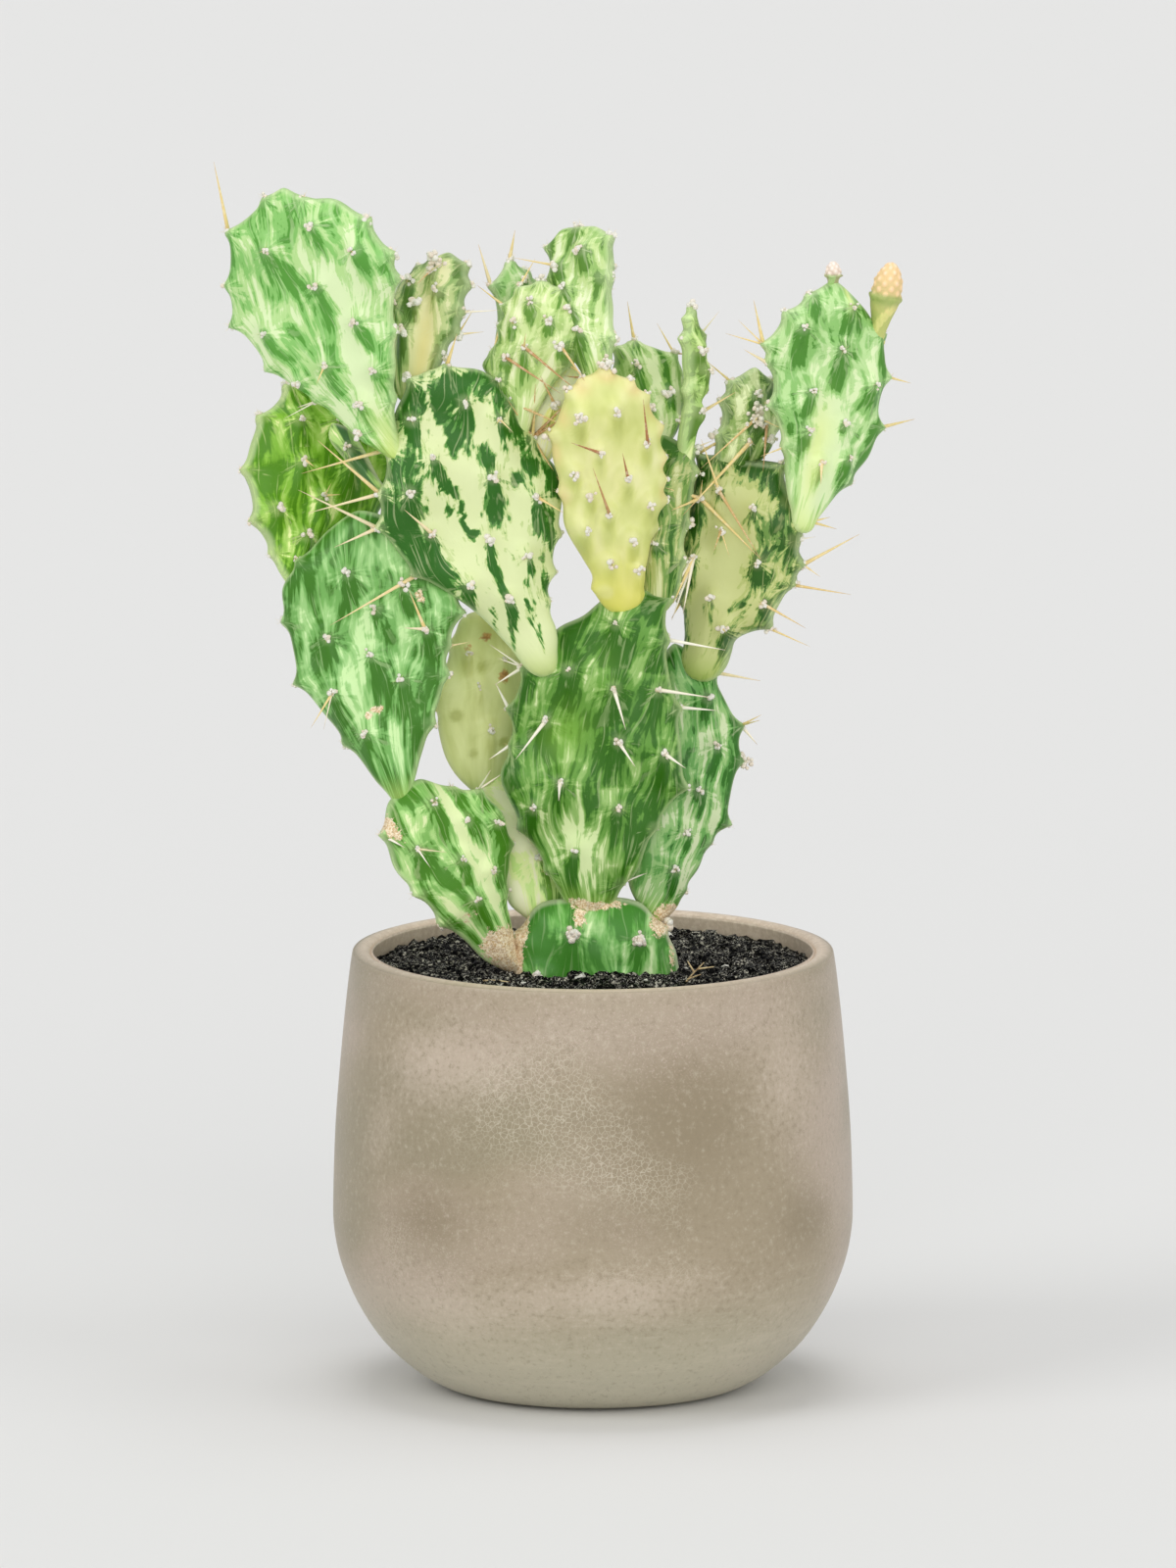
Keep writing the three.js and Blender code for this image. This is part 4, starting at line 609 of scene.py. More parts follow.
def padSkin(pad, looks, seed):
    columns = max(skin["fewestColumns"], round(pad.widest / skin["columnStep"]))
    even = np.arange(1, columns) / columns
    steps = even - skin["crowd"] * np.sin(2 * np.pi * even) / (2 * np.pi)  # closer together at the edges
    left, right = pad.leftRows[1:-1], pad.rightRows[1:-1]
    inner = (left[:, None] + (right - left)[:, None] * steps[:, None]).reshape(-1, 2)
    rim = np.vstack([pad.root, pad.tip, left, right])
    onRim, innerGap = np.zeros(len(rim)), pad.edgeGap(inner)
    flats, points, gaps, sides = [rim], [pad.lift(rim, onRim)], [onRim], [onRim]
    for side, dots in ((1, pad.dots), (-1, pad.backDots)):
        spots = inner / skin["rippleSize"]
        ripple = np.array([noise.noise(Vector((x, z, seed + side))) for x, z in spots])
        out = pad.rise(inner, innerGap, dots)
        out = out + skin["ripple"] * ripple * np.minimum(1, innerGap / skin["rippleEase"])
        flats.append(inner)
        points.append(pad.lift(inner, side * out))
        gaps.append(innerGap)
        sides.append(np.full(len(inner), side))
    count = len(left)
    leftIndex = 2 + np.arange(count)
    faces = []
    for side, start in ((1, len(rim)), (-1, len(rim) + len(inner))):
        grid = start + np.arange(count * (columns - 1)).reshape(count, columns - 1)
        grid = np.column_stack([leftIndex, grid, leftIndex + count])
        if side < 0:
            grid = grid[:, ::-1]
        for k in range(columns):
            faces.append((0, grid[0, k + 1], grid[0, k]))
            faces.append((1, grid[-1, k], grid[-1, k + 1]))
        a, b, c, d = grid[:-1, :-1], grid[:-1, 1:], grid[1:, 1:], grid[1:, :-1]
        faces += np.stack([a, b, c, d], axis=-1).reshape(-1, 4).tolist()
    made = meshObject(pad.name + "_skin", np.vstack(points) * mm,
                      [tuple(int(i) for i in face) for face in faces], padMaterial(pad.name, looks))
    flat = np.vstack(flats)
    layFlow(made.data, pad, flat, np.concatenate(sides), seed)
    addValues(made.data, "rimGap", np.concatenate(gaps))
    for label in ("deep", "warm", "cork", "scar"):
        addValues(made.data, label, softSpots(pad, flat, looks[label]))
    return made


def softSpots(pad, flat, spots):  # soft ovals laid along the pad: x, z, half width, half length, amount
    total = np.zeros(len(flat))
    for x, z, wide, tall, amount in spots:
        u, v = pad.local(flat - np.array([x, z]) + pad.root)
        total += amount * np.exp(-(u / wide) ** 2 - (v / tall) ** 2)
    return total


# The flow that a pad's pattern follows, in millimetres: it gathers at the areoles, rays and a tent of
# streaks run from them towards the root, and a painted shadow lies right under each between painted
# highlights on two ridges
flow = dict(
    gather=3.0, gatherWide=2.8, gatherFade=8.0, gatherUp=6.0, gatherDown=14.0, rimShare=0.5, rayReach=9.0,
    rayGap=2.0, valleyWide=1.5, tentFoot=1.3, tentSpread=0.32, tentLong=12, tentTop=0.6, shadowLong=3.2,
    shadowVary=1.4, shadowWide=1.35, highlightAt=2.7, highlightWide=1.1, highlightDown=4, highlightLong=5, highlightShare=0.45,
    narrowest=2, fanRoot=0.25, far=99.0)


def fannedOut(pad, u, v):  # streaks fan out from the root as the pad gets wider
    (leftU, leftV), (rightU, rightV) = pad.local(pad.leftRows), pad.local(pad.rightRows)
    heights = (leftV + rightV) / 2
    half = np.polyval(np.polyfit(heights, np.abs(leftU - rightU) / 2, 3), heights)
    half = np.maximum.accumulate(np.clip(half, flow["narrowest"], None))
    middle = np.polyval(np.polyfit(heights, (leftU + rightU) / 2, 2), v)
    width = np.interp(v, heights, half)
    return (u - middle) / (flow["fanRoot"] + (1 - flow["fanRoot"]) * width / half[-1])


def layFlow(mesh, pad, flat, sides, seed):
    u, v = pad.local(flat)
    warp, tent, pocket, raySeed = (np.zeros(len(flat)) for field in range(4))
    first, second, areoleGap = (np.full(len(flat), flow["far"]) for field in range(3))
    ray = np.zeros((len(flat), 3))
    for side, dots in ((1, pad.dots), (-1, pad.backDots), (0, pad.rimDots)):
        here = (sides == side) | (sides == 0) if side else np.ones(len(flat), bool)
        share = 1 if side else flow["rimShare"]
        for dot in dots:
            du, dv = pad.local(flat - dot + pad.root)
            near = np.where(dv > 0, flow["gatherUp"], flow["gatherDown"])
            fade = np.exp(-(du / flow["gatherFade"]) ** 2 - (dv / near) ** 2)
            pull = np.tanh(du / flow["gatherWide"]) * fade
            warp += np.where(here, flow["gather"] * pull * share, 0)
            own = np.where(here, np.hypot(du, dv * np.where(dv < 0, 0.5, 1.5)), flow["far"])
            closer = own < first
            ray[closer] = np.column_stack([du, dv, 0 * du])[closer]
            raySeed[closer] = dot[0] * 7.3 + dot[1] * 3.1
            second = np.minimum(second, np.maximum(first, own))
            first = np.minimum(first, own)
            areoleGap = np.where(here, np.minimum(areoleGap, np.hypot(du, dv)), areoleGap)
            fan = np.exp(-(du / (flow["tentFoot"] + flow["tentSpread"] * np.abs(dv))) ** 2)
            fan = fan * np.exp(-(dv / flow["tentLong"]) ** 2) * (dv < flow["tentTop"])
            tent = np.where(here, np.maximum(tent, fan * share), tent)
            # painted shading: a painted shadow right under each areole of a face, less a painted highlight on
            # the ridges to both sides of it
            if side:
                strong = 0.45 + 0.55 * math.sin(dot[0] * 5.1 + dot[1] * 3.7) ** 2
                long = flow["shadowLong"] + flow["shadowVary"] * math.sin(dot[0] * 2.3 + dot[1])
                shadowSpot = np.exp(-(du / flow["shadowWide"]) ** 2 - ((dv + long) / (0.75 * long)) ** 2)
                ridgeHighlight = np.exp(-((np.abs(du) - flow["highlightAt"]) / flow["highlightWide"]) ** 2
                               - ((dv + flow["highlightDown"]) / flow["highlightLong"]) ** 2)
                pocket += np.where(here, strong * (shadowSpot - flow["highlightShare"] * ridgeHighlight), 0)
    below = np.clip(0.7 - ray[:, 1] / np.maximum(areoleGap, 0.5), 0.25, 1)  # rays run mostly to the root
    near = np.exp(-(areoleGap / flow["rayReach"]) ** 2) * np.clip((second - first) / flow["rayGap"], 0, 1)
    valley = np.exp(-((second - first) / flow["valleyWide"]) ** 2)
    place = np.column_stack([fannedOut(pad, u, v) + warp, v, seed * 37.0 + 13 * sides])
    addValues(mesh, "flow", place, "FLOAT_VECTOR")
    addValues(mesh, "ray", ray, "FLOAT_VECTOR")
    fields = dict(raySeed=raySeed, near=near * below, areoleGap=areoleGap, tent=tent, pocket=pocket,
                  valley=valley, reach=v / pad.length)
    for label, values in fields.items():
        addValues(mesh, label, values)


# Marks that are the same on every pad, and how strongly the noises count in the pattern
marks = dict(bark=(208, 172, 118), barkPale=(255, 242, 210), barkShade=(164, 124, 80),
             barkWhite=(255, 248, 232), scarDark=(158, 84, 34), scarPale=(198, 146, 84), contrast=2.4)


def padMaterial(name, looks):
    def shade(key):
        colour = looks[key]
        grey = sum(colour) / 3
        richer = [looks["gain"] * (grey + looks["rich"] * (part - grey)) for part in colour]
        return tint([min(250, max(2, part)) for part in richer])

    def build(b):
        line = b.attribute("flow", out="Vector")
        place, reach, near = b.place(), b.attribute("reach"), b.attribute("near")
        pocket, rimGap = b.attribute("pocket"), b.attribute("rimGap")
        wide, long = looks["wide"], looks["long"]
        patches = b.cloud(b.stretch(line, (wide, long, 1)), detail=2.2)
        streaks = b.cloud(b.stretch(line, (wide * 2.6, long * 1.5, 1), (7, 3, 5)), detail=3.0, rough=0.55)
        hairs = b.cloud(b.stretch(line, (1.25, 0.055, 1), (2, 9, 1)))
        threads = b.cloud(b.stretch(line, (0.95, 0.07, 1), (5, 4, 8)))
        grain = b.cloud(place, 2600.0, rough=0.6)
        rough = b.cloud(place, 700.0, 4.0, 0.7)
        crust = b.cloud(place, 1500.0, 3.0, 0.7)
        ray = b.attribute("ray", out="Vector")
        aim = b.node("ShaderNodeVectorMath", {"operation": "NORMALIZE"}, {0: ray})
        away = 0.12 * b.attribute("areoleGap") + b.attribute("raySeed")
        away = b.node("ShaderNodeCombineXYZ", None, {2: away})
        spokes = b.cloud(b.vectors("ADD", b.stretch(aim, (2.6, 2.6, 0)), away), detail=3.0, rough=0.6)

        score = looks["cover"] + looks["patch"] * marks["contrast"] * (patches - 0.5)
        score = score + looks["streak"] * marks["contrast"] * (streaks - 0.5)
        score = score + looks["spokes"] * marks["contrast"] * (spokes - 0.5) * near + b.attribute("deep")
        score = score + looks["tent"] * (b.attribute("tent") - 0.3)
        score = score - looks["valley"] * b.attribute("valley")
        # the painted shadow under the areoles darkens the pattern, and the painted highlight on their ridges
        # lightens it
        score = score + looks["pocket"] * pocket + looks["rim"] * b.step(rimGap, looks["rimWide"], 0.0)
        score = score + looks["base"] * b.step(reach, 0.3, 0.0) + looks["top"] * b.step(reach, 0.6, 1.0)
        soft, gap = looks["soft"], looks["toneGap"]
        pale = score + looks["fine"] * (hairs - 0.5)
        rich = score + looks["fine"] * (threads - 0.5)
        body = b.mix(b.step(pale, 0.5 - gap - soft, 0.5 - gap + soft), shade("light"), shade("half"))
        body = b.mix(b.step(score, 0.5 - soft, 0.5 + soft), body, shade("mid"))
        body = b.mix(b.step(rich, 0.5 + gap - soft, 0.5 + gap + soft), body, shade("dark"))
        # the painted shadow under the areoles deepens to the darkest green
        body = b.mix(b.step(pocket, 0.3, 0.9) * looks["pocket"] * 0.7, body, shade("dark"))
        flecks = b.step(hairs, looks["fleck"], looks["fleck"] + 0.1)
        body = b.mix(flecks * looks["fleckShow"], body, shade("light"))
        body = b.mix(b.step(spokes, 0.58, 0.68) * near * looks["rayShow"], body, shade("light"))
        tone = 0.5 + 0.9 * (b.cloud(place, 90.0) - 0.5)
        body = b.mix(0.16, body, b.mix(tone, (0.05, 0.05, 0.03), (1, 1, 0.9)), "SOFT_LIGHT")
        body = b.mix(b.step(reach, looks["rootReach"], 0.0) * looks["rootShow"], body, shade("root"))
        body = b.mix(b.attribute("warm"), body, shade("warmTint"))
        body = b.mix(b.step(b.attribute("areoleGap"), 3.4, 1.4) * looks["halo"], body, shade("light"))
        # a painted highlight along the rim of the pad
        body = b.mix(b.step(rimGap, 1.3, 0.1) * looks["edge"], body, shade("rimHighlightTint"))

        cork = b.step(b.attribute("cork") + (rough - 0.5) * 1.4, 0.45, 0.6)
        bark = b.mix(b.step(crust, 0.35, 0.65), tint(marks["bark"]), tint(marks["barkPale"]))
        bark = b.mix(b.step(rough, 0.5, 0.4) * 0.45, bark, tint(marks["barkShade"]))
        bark = b.mix(b.step(grain, 0.56, 0.62) * 0.6, bark, tint(marks["barkWhite"]))
        body = b.mix(cork, body, bark)
        scar = b.step(b.attribute("scar") + (rough - 0.5) * 0.8, 0.4, 0.6)
        brown = b.mix(b.step(rough, 0.4, 0.6), tint(marks["scarDark"]), tint(marks["scarPale"]))
        body = b.mix(scar * 0.85, body, brown)
        height = 0.45 * streaks + 0.4 * looks["fine"] * hairs + 0.12 * grain
        height = height + 1.1 * cork * rough + 0.5 * scar * rough
        return {"Base Color": body, "Roughness": 0.36 + 0.14 * streaks + 0.3 * cork,
                "Normal": b.bump(height, 0.35, 0.0006), "Specular IOR Level": 0.35}

    return newMaterial(name + "_skin", build)


# How a pad looks: its colours from the palest to the darkest, "cover", which makes more of it green, and
# how much each part of the pattern counts. "wide" and "long" say how fine the pattern is across and along
# the pad, and "blunt" is the radius of its root's end in millimetres
# The edge share and its tint paint a highlight along the rim of each pad
plainLooks = dict(
    relief=1.0, blunt=0.0, rich=1.15, gain=1.0, light=(214, 228, 170), half=(170, 200, 130),
    mid=(112, 166, 84), dark=(58, 116, 44), cover=0.6, wide=0.19, long=0.045, patch=0.75, streak=0.3,
    fine=0.6, spokes=0.7, tent=0.5, valley=0.18, rim=0.1, rimWide=5.0, base=-0.1, top=0.05, soft=0.05,
    toneGap=0.2, fleck=0.58, fleckShow=0.26, rayShow=0.42, pocket=0.44, halo=0.15, edge=0.45,
    rimHighlightTint=(212, 230, 180), root=(176, 204, 116), rootReach=0.12, rootShow=0.6,
    warmTint=(226, 216, 130), deep=[], warm=[], cork=[], scar=[])

# What differs from plainLooks on each pad. "deep" lays darker ovals, or paler ones where the amount is
# below 0, and "warm", "cork" and "scar" lay yellow, bark and brown marks: x, z, half width, half length and
# amount
padLooks = {
    "base_pad": dict(
        rich=1.06, gain=1.22, light=(186, 208, 158), half=(136, 172, 112), mid=(92, 144, 70),
        dark=(54, 106, 34), cover=0.84, patch=0.5, streak=0.5, fine=0.5, spokes=0.5, wide=0.2, long=0.07,
        soft=0.13, valley=0.0, fleckShow=0.15, rayShow=0.25, pocket=0.3,
        deep=[(-0.7, 143.5, 3, 3.5, -0.55), (16, 132, 7, 8, -0.28), (-15, 137, 7, 8, 0.25),
              (8, 145, 3, 4, 0.3), (-5, 133, 4, 6, 0.15)],
        cork=[(-21.5, 145, 2.2, 6, 1), (2, 150.6, 9, 1.7, 1), (20.5, 145, 3.4, 5, 1),
              (-4, 146.5, 2.6, 3.2, 0.9), (-23, 132, 2, 12, 0.9), (24.3, 134, 1.4, 8, 0.6)]),
    "central_pad": dict(
        rich=1.28, gain=1.0, light=(208, 222, 174), half=(142, 174, 108), mid=(96, 138, 64),
        dark=(46, 92, 12), cover=0.8, soft=0.08, wide=0.25, patch=0.55, streak=0.4, fine=0.65,
        deep=[(-3, 166, 9, 9, -0.6), (-6, 180, 3.5, 8, -0.35), (7, 186, 2.5, 9, -0.35),
              (-5.3, 163, 1.5, 5, 0.75), (0.5, 183, 2, 6, 0.3), (13, 172, 4, 9, 0.25),
              (7, 241, 4, 4, -0.35), (-20, 195, 6, 22, -0.08), (20, 222, 6, 12, -0.08),
              (-8, 232, 9, 9, 0.2), (12, 205, 7, 14, 0.15)],
        warm=[(-8, 203, 7, 9, 0.4), (3, 222, 6, 10, 0.12)],
        warmTint=(140, 180, 74), cork=[(-1, 150, 9, 2.2, 0.95)]),
    "lower_left_pad": dict(
        rich=1.2, gain=1.02, light=(222, 234, 184), half=(170, 206, 136), mid=(128, 174, 98),
        dark=(70, 120, 32), cover=0.64, wide=0.26, fine=0.75, streak=0.35, soft=0.07,
        deep=[(-38, 166, 2.3, 15, -0.7), (-33, 153, 2.4, 7, -0.4), (-58, 183, 7, 6, 0.2),
              (-30, 165, 5, 12, 0.25), (-52, 166, 4, 9, 0.25), (-45, 176, 1.6, 8, -0.2)],
        cork=[(-24, 133, 8, 9, 1.1), (-31, 139, 6, 5, 0.7), (-40, 147, 4, 3, 0.5),
              (-63, 174, 2.5, 6, 0.9)],
        scar=[(-45, 141, 2, 2, 0.4)]),
    "lower_right_pad": dict(
        rich=1.35, gain=0.96, light=(214, 226, 190), half=(156, 190, 132), mid=(106, 154, 88),
        dark=(44, 96, 20), cover=0.68, wide=0.26, patch=0.6, streak=0.4, fine=0.65,
        deep=[(27, 168, 3, 14, -0.35), (33, 200, 4, 10, -0.4), (32, 177, 3, 5, -0.25),
              (40, 206, 3, 10, -0.15), (41, 186, 3, 12, 0.25), (30, 186, 2, 5, 0.2)],
        cork=[(23, 147, 6, 4, 1)]),
    "pale_stem_pad": dict(
        rich=1.1, gain=1.11, light=(236, 246, 192), half=(214, 234, 164), mid=(190, 214, 138),
        dark=(110, 152, 66), cover=0.28, tent=0.2, deep=[(-12, 150, 3, 10, 0.5)],
        cork=[(-14.5, 146, 6, 3, 0.8)]),
    "pale_pad": dict(
        blunt=3.4, rich=1.0, gain=0.955, light=(248, 252, 190), half=(238, 243, 172), mid=(226, 232, 156),
        dark=(196, 202, 122), cover=0.5, patch=0.3, streak=0.12, fine=0.1, spokes=0.15, pocket=0.3,
        tent=0.1, soft=0.3, fleckShow=0.05, rayShow=0.05, edge=0.1, valley=0.05,
        deep=[(-43, 208.5, 1.5, 1.4, 0.9), (-29, 200.3, 1.6, 1.2, 0.9), (-35.4, 223.8, 1.8, 2, 0.6),
              (-38, 196.7, 1, 1, 0.7), (-41, 224, 2, 4, 0.35), (-30, 236, 5, 4, 0.3)],
        scar=[(-29, 221, 2.2, 3, 0.8), (-34, 233, 3, 2.2, 0.7), (-40, 230, 2, 2, 0.6)]),
    "left_big_pad": dict(
        blunt=2.8, rich=1.15, gain=1.04, light=(198, 226, 170), half=(152, 194, 128), mid=(112, 162, 90),
        dark=(58, 108, 28), cover=0.73, base=0.1, soft=0.09, wide=0.24, patch=0.6, streak=0.35, fine=0.65,
        deep=[(-66, 238, 3.2, 6, -0.31), (-68, 230, 3.8, 6, -0.31), (-71, 222, 5.6, 6, -0.34),
              (-71, 215, 5.0, 5, -0.34), (-69, 209, 3.5, 5, -0.31), (-60.8, 203, 1.2, 11, -0.28),
              (-66, 199, 1.1, 9, -0.25), (-63.5, 220, 2.4, 6, 0.35), (-75, 247, 4, 7, 0.2),
              (-89, 228, 3, 8, 0.2), (-76, 205, 4, 10, 0.25), (-52, 202, 3, 10, 0.3),
              (-66, 258, 8.8, 6, -0.16), (-84, 255, 4, 5, 0.25), (-69, 267, 3, 4, 0.25),
              (-55, 238, 4.4, 7, -0.16)],
        cork=[(-64.5, 210.5, 2.2, 1.5, 0.95), (-67.5, 208.6, 1.4, 1.4, 0.8), (-51.5, 245.6, 1.5, 4, 0.8)],
        scar=[(-53, 247, 2, 4, 0.4)]),
    "left_back_pad": dict(
        rich=1.2, gain=1.12, light=(212, 222, 160), half=(158, 188, 104), mid=(118, 160, 58),
        dark=(70, 114, 10), cover=0.76, soft=0.12, patch=0.5, streak=0.5, valley=0.06, spokes=0.9,
        deep=[(-88, 280, 5, 26, -0.14), (-97, 262, 3, 12, -0.1)]),
    "cream_front_pad": dict(
        blunt=5.2, rich=1.2, gain=0.955, light=(230, 239, 190), half=(204, 220, 160), mid=(96, 146, 72),
        dark=(44, 98, 22), cover=0.3, patch=0.35, streak=0.35, fine=0.35, tent=0.3, soft=0.025,
        toneGap=0.1, rim=0.0, wide=0.3, long=0.14, valley=0.1, fleckShow=0.3, spokes=0.6, base=-0.2,
        deep=[(-42, 311, 17, 6, 0.6), (-40.7, 300, 3.2, 6, 0.5), (-48.4, 303, 2, 5, 0.6),
              (-45, 297, 1.4, 4, 0.5), (-24, 297, 2.5, 2.5, 0.5), (-62, 281, 3, 5, 0.45),
              (-51, 307, 0.8, 7, -0.5), (-56, 282, 4.5, 10, 0.42), (-57, 300, 4, 8, 0.4),
              (-27, 305, 4, 7, 0.4), (-31.1, 276, 2.6, 6.5, 0.75), (-31.5, 270, 2.2, 4, 0.4),
              (-46.9, 284, 1.3, 3, 0.8), (-45.4, 279.6, 1, 1.8, 0.8), (-42.9, 277.8, 1, 2, 0.8),
              (-44.6, 272, 1.2, 2, 0.8), (-40.9, 272.9, 1, 2.2, 0.8), (-40.4, 269.7, 1.1, 1.6, 0.8),
              (-39.8, 267, 1.1, 1.4, 0.7), (-37.1, 265.4, 2, 1.3, 0.8), (-50.4, 261.6, 1.3, 3.5, 0.8),
              (-42.9, 292, 3, 3.4, 0.6), (-33.2, 288.6, 3.4, 4, 0.6), (-31.5, 256, 1.2, 4, 0.7),
              (-29, 250, 1.2, 4.5, 0.7), (-26, 242, 1.3, 6, 0.6), (-61, 269, 4, 7, 0.7),
              (-55, 259, 4, 9, 0.8), (-47, 251, 4, 8, 0.8), (-39, 244, 2, 8, 0.55),
              (-30, 235, 1.2, 7, 0.45), (-20.8, 288, 3, 6, 0.6), (-12.8, 282, 3.2, 8, 0.65),
              (-24.3, 282, 1.5, 2.4, 0.7), (-18.1, 271, 2, 7, 0.6), (-13.5, 265, 2, 7, 0.5),
              (-15, 250, 1.6, 7, 0.5), (-20, 240, 1.1, 9, 0.5), (-24.5, 230, 0.9, 7, 0.4),
              (-16.5, 233, 0.9, 8, 0.45)],
        root=(196, 214, 128)),
    "top_left_pad": dict(
        relief=1.2, rich=1.12, gain=0.99, light=(224, 241, 194), half=(186, 221, 152),
        mid=(140, 195, 112), dark=(90, 152, 62), cover=0.6, valley=0.1, patch=0.45, streak=0.45, base=0.0,
        spokes=0.8, fine=0.7, wide=0.24,
        deep=[(-80, 351, 2.2, 6, -0.34), (-76.5, 343, 3.4, 6, -0.37), (-73.5, 336, 4, 7, -0.37),
              (-71, 325, 3.8, 8, -0.37), (-69.5, 315, 3.6, 8, -0.34), (-66, 305, 3.2, 7, -0.31),
              (-71.5, 354, 2, 6, -0.34), (-70.5, 345, 2.4, 6, -0.34), (-62, 340, 2, 6, -0.34),
              (-63.5, 328, 2, 8, -0.34), (-63.8, 315, 2, 8, -0.34), (-107, 336, 3, 4, -0.2),
              (-101, 328, 3, 6, -0.27), (-97, 319, 3, 6, -0.31), (-91, 313, 3, 6, -0.31),
              (-83, 308.5, 3, 6, -0.31), (-75, 303, 3, 6, -0.31), (-97.5, 345, 0.9, 9, -0.31),
              (-98.3, 335, 1, 6, -0.31), (-86.5, 351, 3.4, 5, -0.2), (-89, 333, 4, 4, -0.14),
              (-91, 346, 2.6, 5, 0.25), (-91, 340, 6, 3, 0.15), (-80.5, 335, 2.4, 9, 0.35),
              (-66.7, 348, 1.8, 8, 0.35), (-66.8, 327, 1.6, 8, 0.4), (-88.5, 321, 6, 5, 0.22),
              (-77, 320, 2.2, 7, 0.3), (-77, 362, 3, 6, 0.2), (-104, 350, 5, 9, 0.12)],
        warm=[(-60, 293, 3, 12, 0.5)], warmTint=(228, 236, 150), root=(204, 226, 122), rootReach=0.12),
    "narrow_left_pad": dict(
        rich=1.3, gain=1.15, light=(214, 222, 176), half=(160, 184, 122), mid=(118, 146, 90),
        dark=(62, 92, 56)),
    "yellow_pad": dict(
        blunt=7.4, rich=1.0, gain=1.0, light=(242, 240, 184), half=(228, 231, 156), mid=(213, 220, 138),
        dark=(194, 202, 114), relief=1.45, cover=0.5, patch=0.45, streak=0.1, fine=0.05, spokes=0.0,
        wide=0.07, long=0.055, tent=0.25, soft=0.28, fleckShow=0.0, rayShow=0.0, edge=0.15, pocket=0.35,
        rimHighlightTint=(240, 226, 164), root=(230, 224, 100), rootReach=0.36, rootShow=0.85, halo=0.3,
        valley=0.05,
        warm=[(-4.5, 311, 3, 3, 0.5), (4, 314, 4, 2, 0.5), (12.5, 310.5, 3, 2.5, 0.55),
              (18, 304, 2.5, 3, 0.5), (20.8, 297, 1.8, 3, 0.45), (21.5, 287, 1.5, 3, 0.5),
              (21, 278, 1.6, 3, 0.45), (-10, 301, 2, 3, 0.45), (-12, 290, 1.6, 4, 0.5),
              (-9.5, 277, 1.6, 3, 0.5)],
        warmTint=(248, 208, 150)),
    "upper_pale_pad": dict(
        rich=1.08, gain=1.04, light=(232, 238, 196), half=(204, 221, 158), mid=(168, 196, 120),
        dark=(98, 140, 56), cover=0.52, patch=0.5, tent=0.3,
        deep=[(-3, 322, 3, 16, 0.5), (-27, 312, 5, 12, 0.25)]),
    "back_tip_pad": dict(
        rich=1.05, gain=1.0, light=(214, 226, 186), half=(180, 206, 146), mid=(138, 184, 104),
        dark=(84, 138, 50)),
    "olive_pad": dict(
        rich=1.05, gain=1.2, light=(242, 242, 182), half=(226, 226, 154), mid=(202, 204, 128),
        dark=(142, 150, 74), cover=0.22, patch=0.5,
        deep=[(-2, 320, 1.6, 10, 0.4), (-13, 316, 1.5, 10, 0.3)]),
    "narrow_top_pad": dict(
        relief=1.3, rich=1.05, gain=1.02, light=(228, 238, 196), half=(196, 218, 150),
        mid=(148, 186, 104), dark=(88, 132, 48), wide=0.3, long=0.025),
    "twisted_pad": dict(
        relief=1.3, rich=1.05, gain=1.0, light=(226, 228, 178), half=(190, 206, 142), mid=(140, 172, 102),
        dark=(84, 122, 48), cover=0.58, wide=0.26, long=0.03, rim=0.4, rimWide=3,
        deep=[(-50, 322, 2.8, 20, -0.6)], warm=[(-50, 320, 2.4, 18, 0.7)], warmTint=(228, 212, 132)),
    "tall_back_pad": dict(
        relief=1.35, rich=1.2, gain=0.98, light=(218, 222, 176), half=(180, 190, 130), mid=(118, 150, 80),
        dark=(54, 98, 22), cover=0.64, wide=0.24, long=0.025, streak=0.45,
        deep=[(20, 275, 1.6, 18, -0.4), (13, 270, 2, 14, 0.3), (27, 270, 1.4, 18, -0.4),
              (16.5, 287, 1.5, 10, 0.4), (10, 280, 1.2, 14, -0.3), (24, 284, 1.4, 10, 0.35)]),
    "upper_back_pad": dict(
        relief=1.35, rich=1.15, gain=1.0, light=(216, 228, 182), half=(176, 202, 138), mid=(136, 172, 96),
        dark=(70, 118, 36), cover=0.44, wide=0.26, long=0.03,
        deep=[(10, 312, 4, 8, 0.3), (19, 306, 1.6, 12, -0.4), (24.5, 304, 1.4, 12, -0.4),
              (15, 304, 1.4, 10, 0.3), (21.8, 312, 1.3, 8, 0.4)]),
    "edge_pad": dict(
        rich=1.1, gain=1.06, light=(218, 228, 172), half=(186, 208, 140), mid=(146, 180, 98),
        dark=(86, 122, 42)),
    "cream_right_pad": dict(
        blunt=7.0, rich=1.2, gain=0.93, light=(212, 217, 158), half=(190, 201, 132), mid=(116, 150, 80),
        dark=(44, 88, 16), cover=0.34, patch=0.35, tent=0.3, rim=0.3, rimWide=5, soft=0.03, toneGap=0.12,
        wide=0.28, long=0.12, valley=0.1, streak=0.45, fine=0.4, spokes=0.7, fleckShow=0.45,
        deep=[(43, 262, 5, 22, -0.35), (57, 262, 5.5, 16, 0.45), (50, 284, 7, 5, 0.45),
              (33, 268, 3, 9, 0.5), (47, 242, 2.5, 6, 0.3), (34, 284, 3, 6, 0.4)],
        root=(184, 202, 118), rootReach=0.2, rootShow=0.9),
    "small_right_pad": dict(
        rich=1.1, gain=1.09, light=(218, 226, 182), half=(182, 194, 142), mid=(134, 160, 92),
        dark=(62, 98, 28), relief=1.3, soft=0.04),
    "top_right_pad": dict(
        blunt=3.0, relief=1.45, rich=1.08, gain=0.985, light=(226, 243, 194), half=(188, 223, 156),
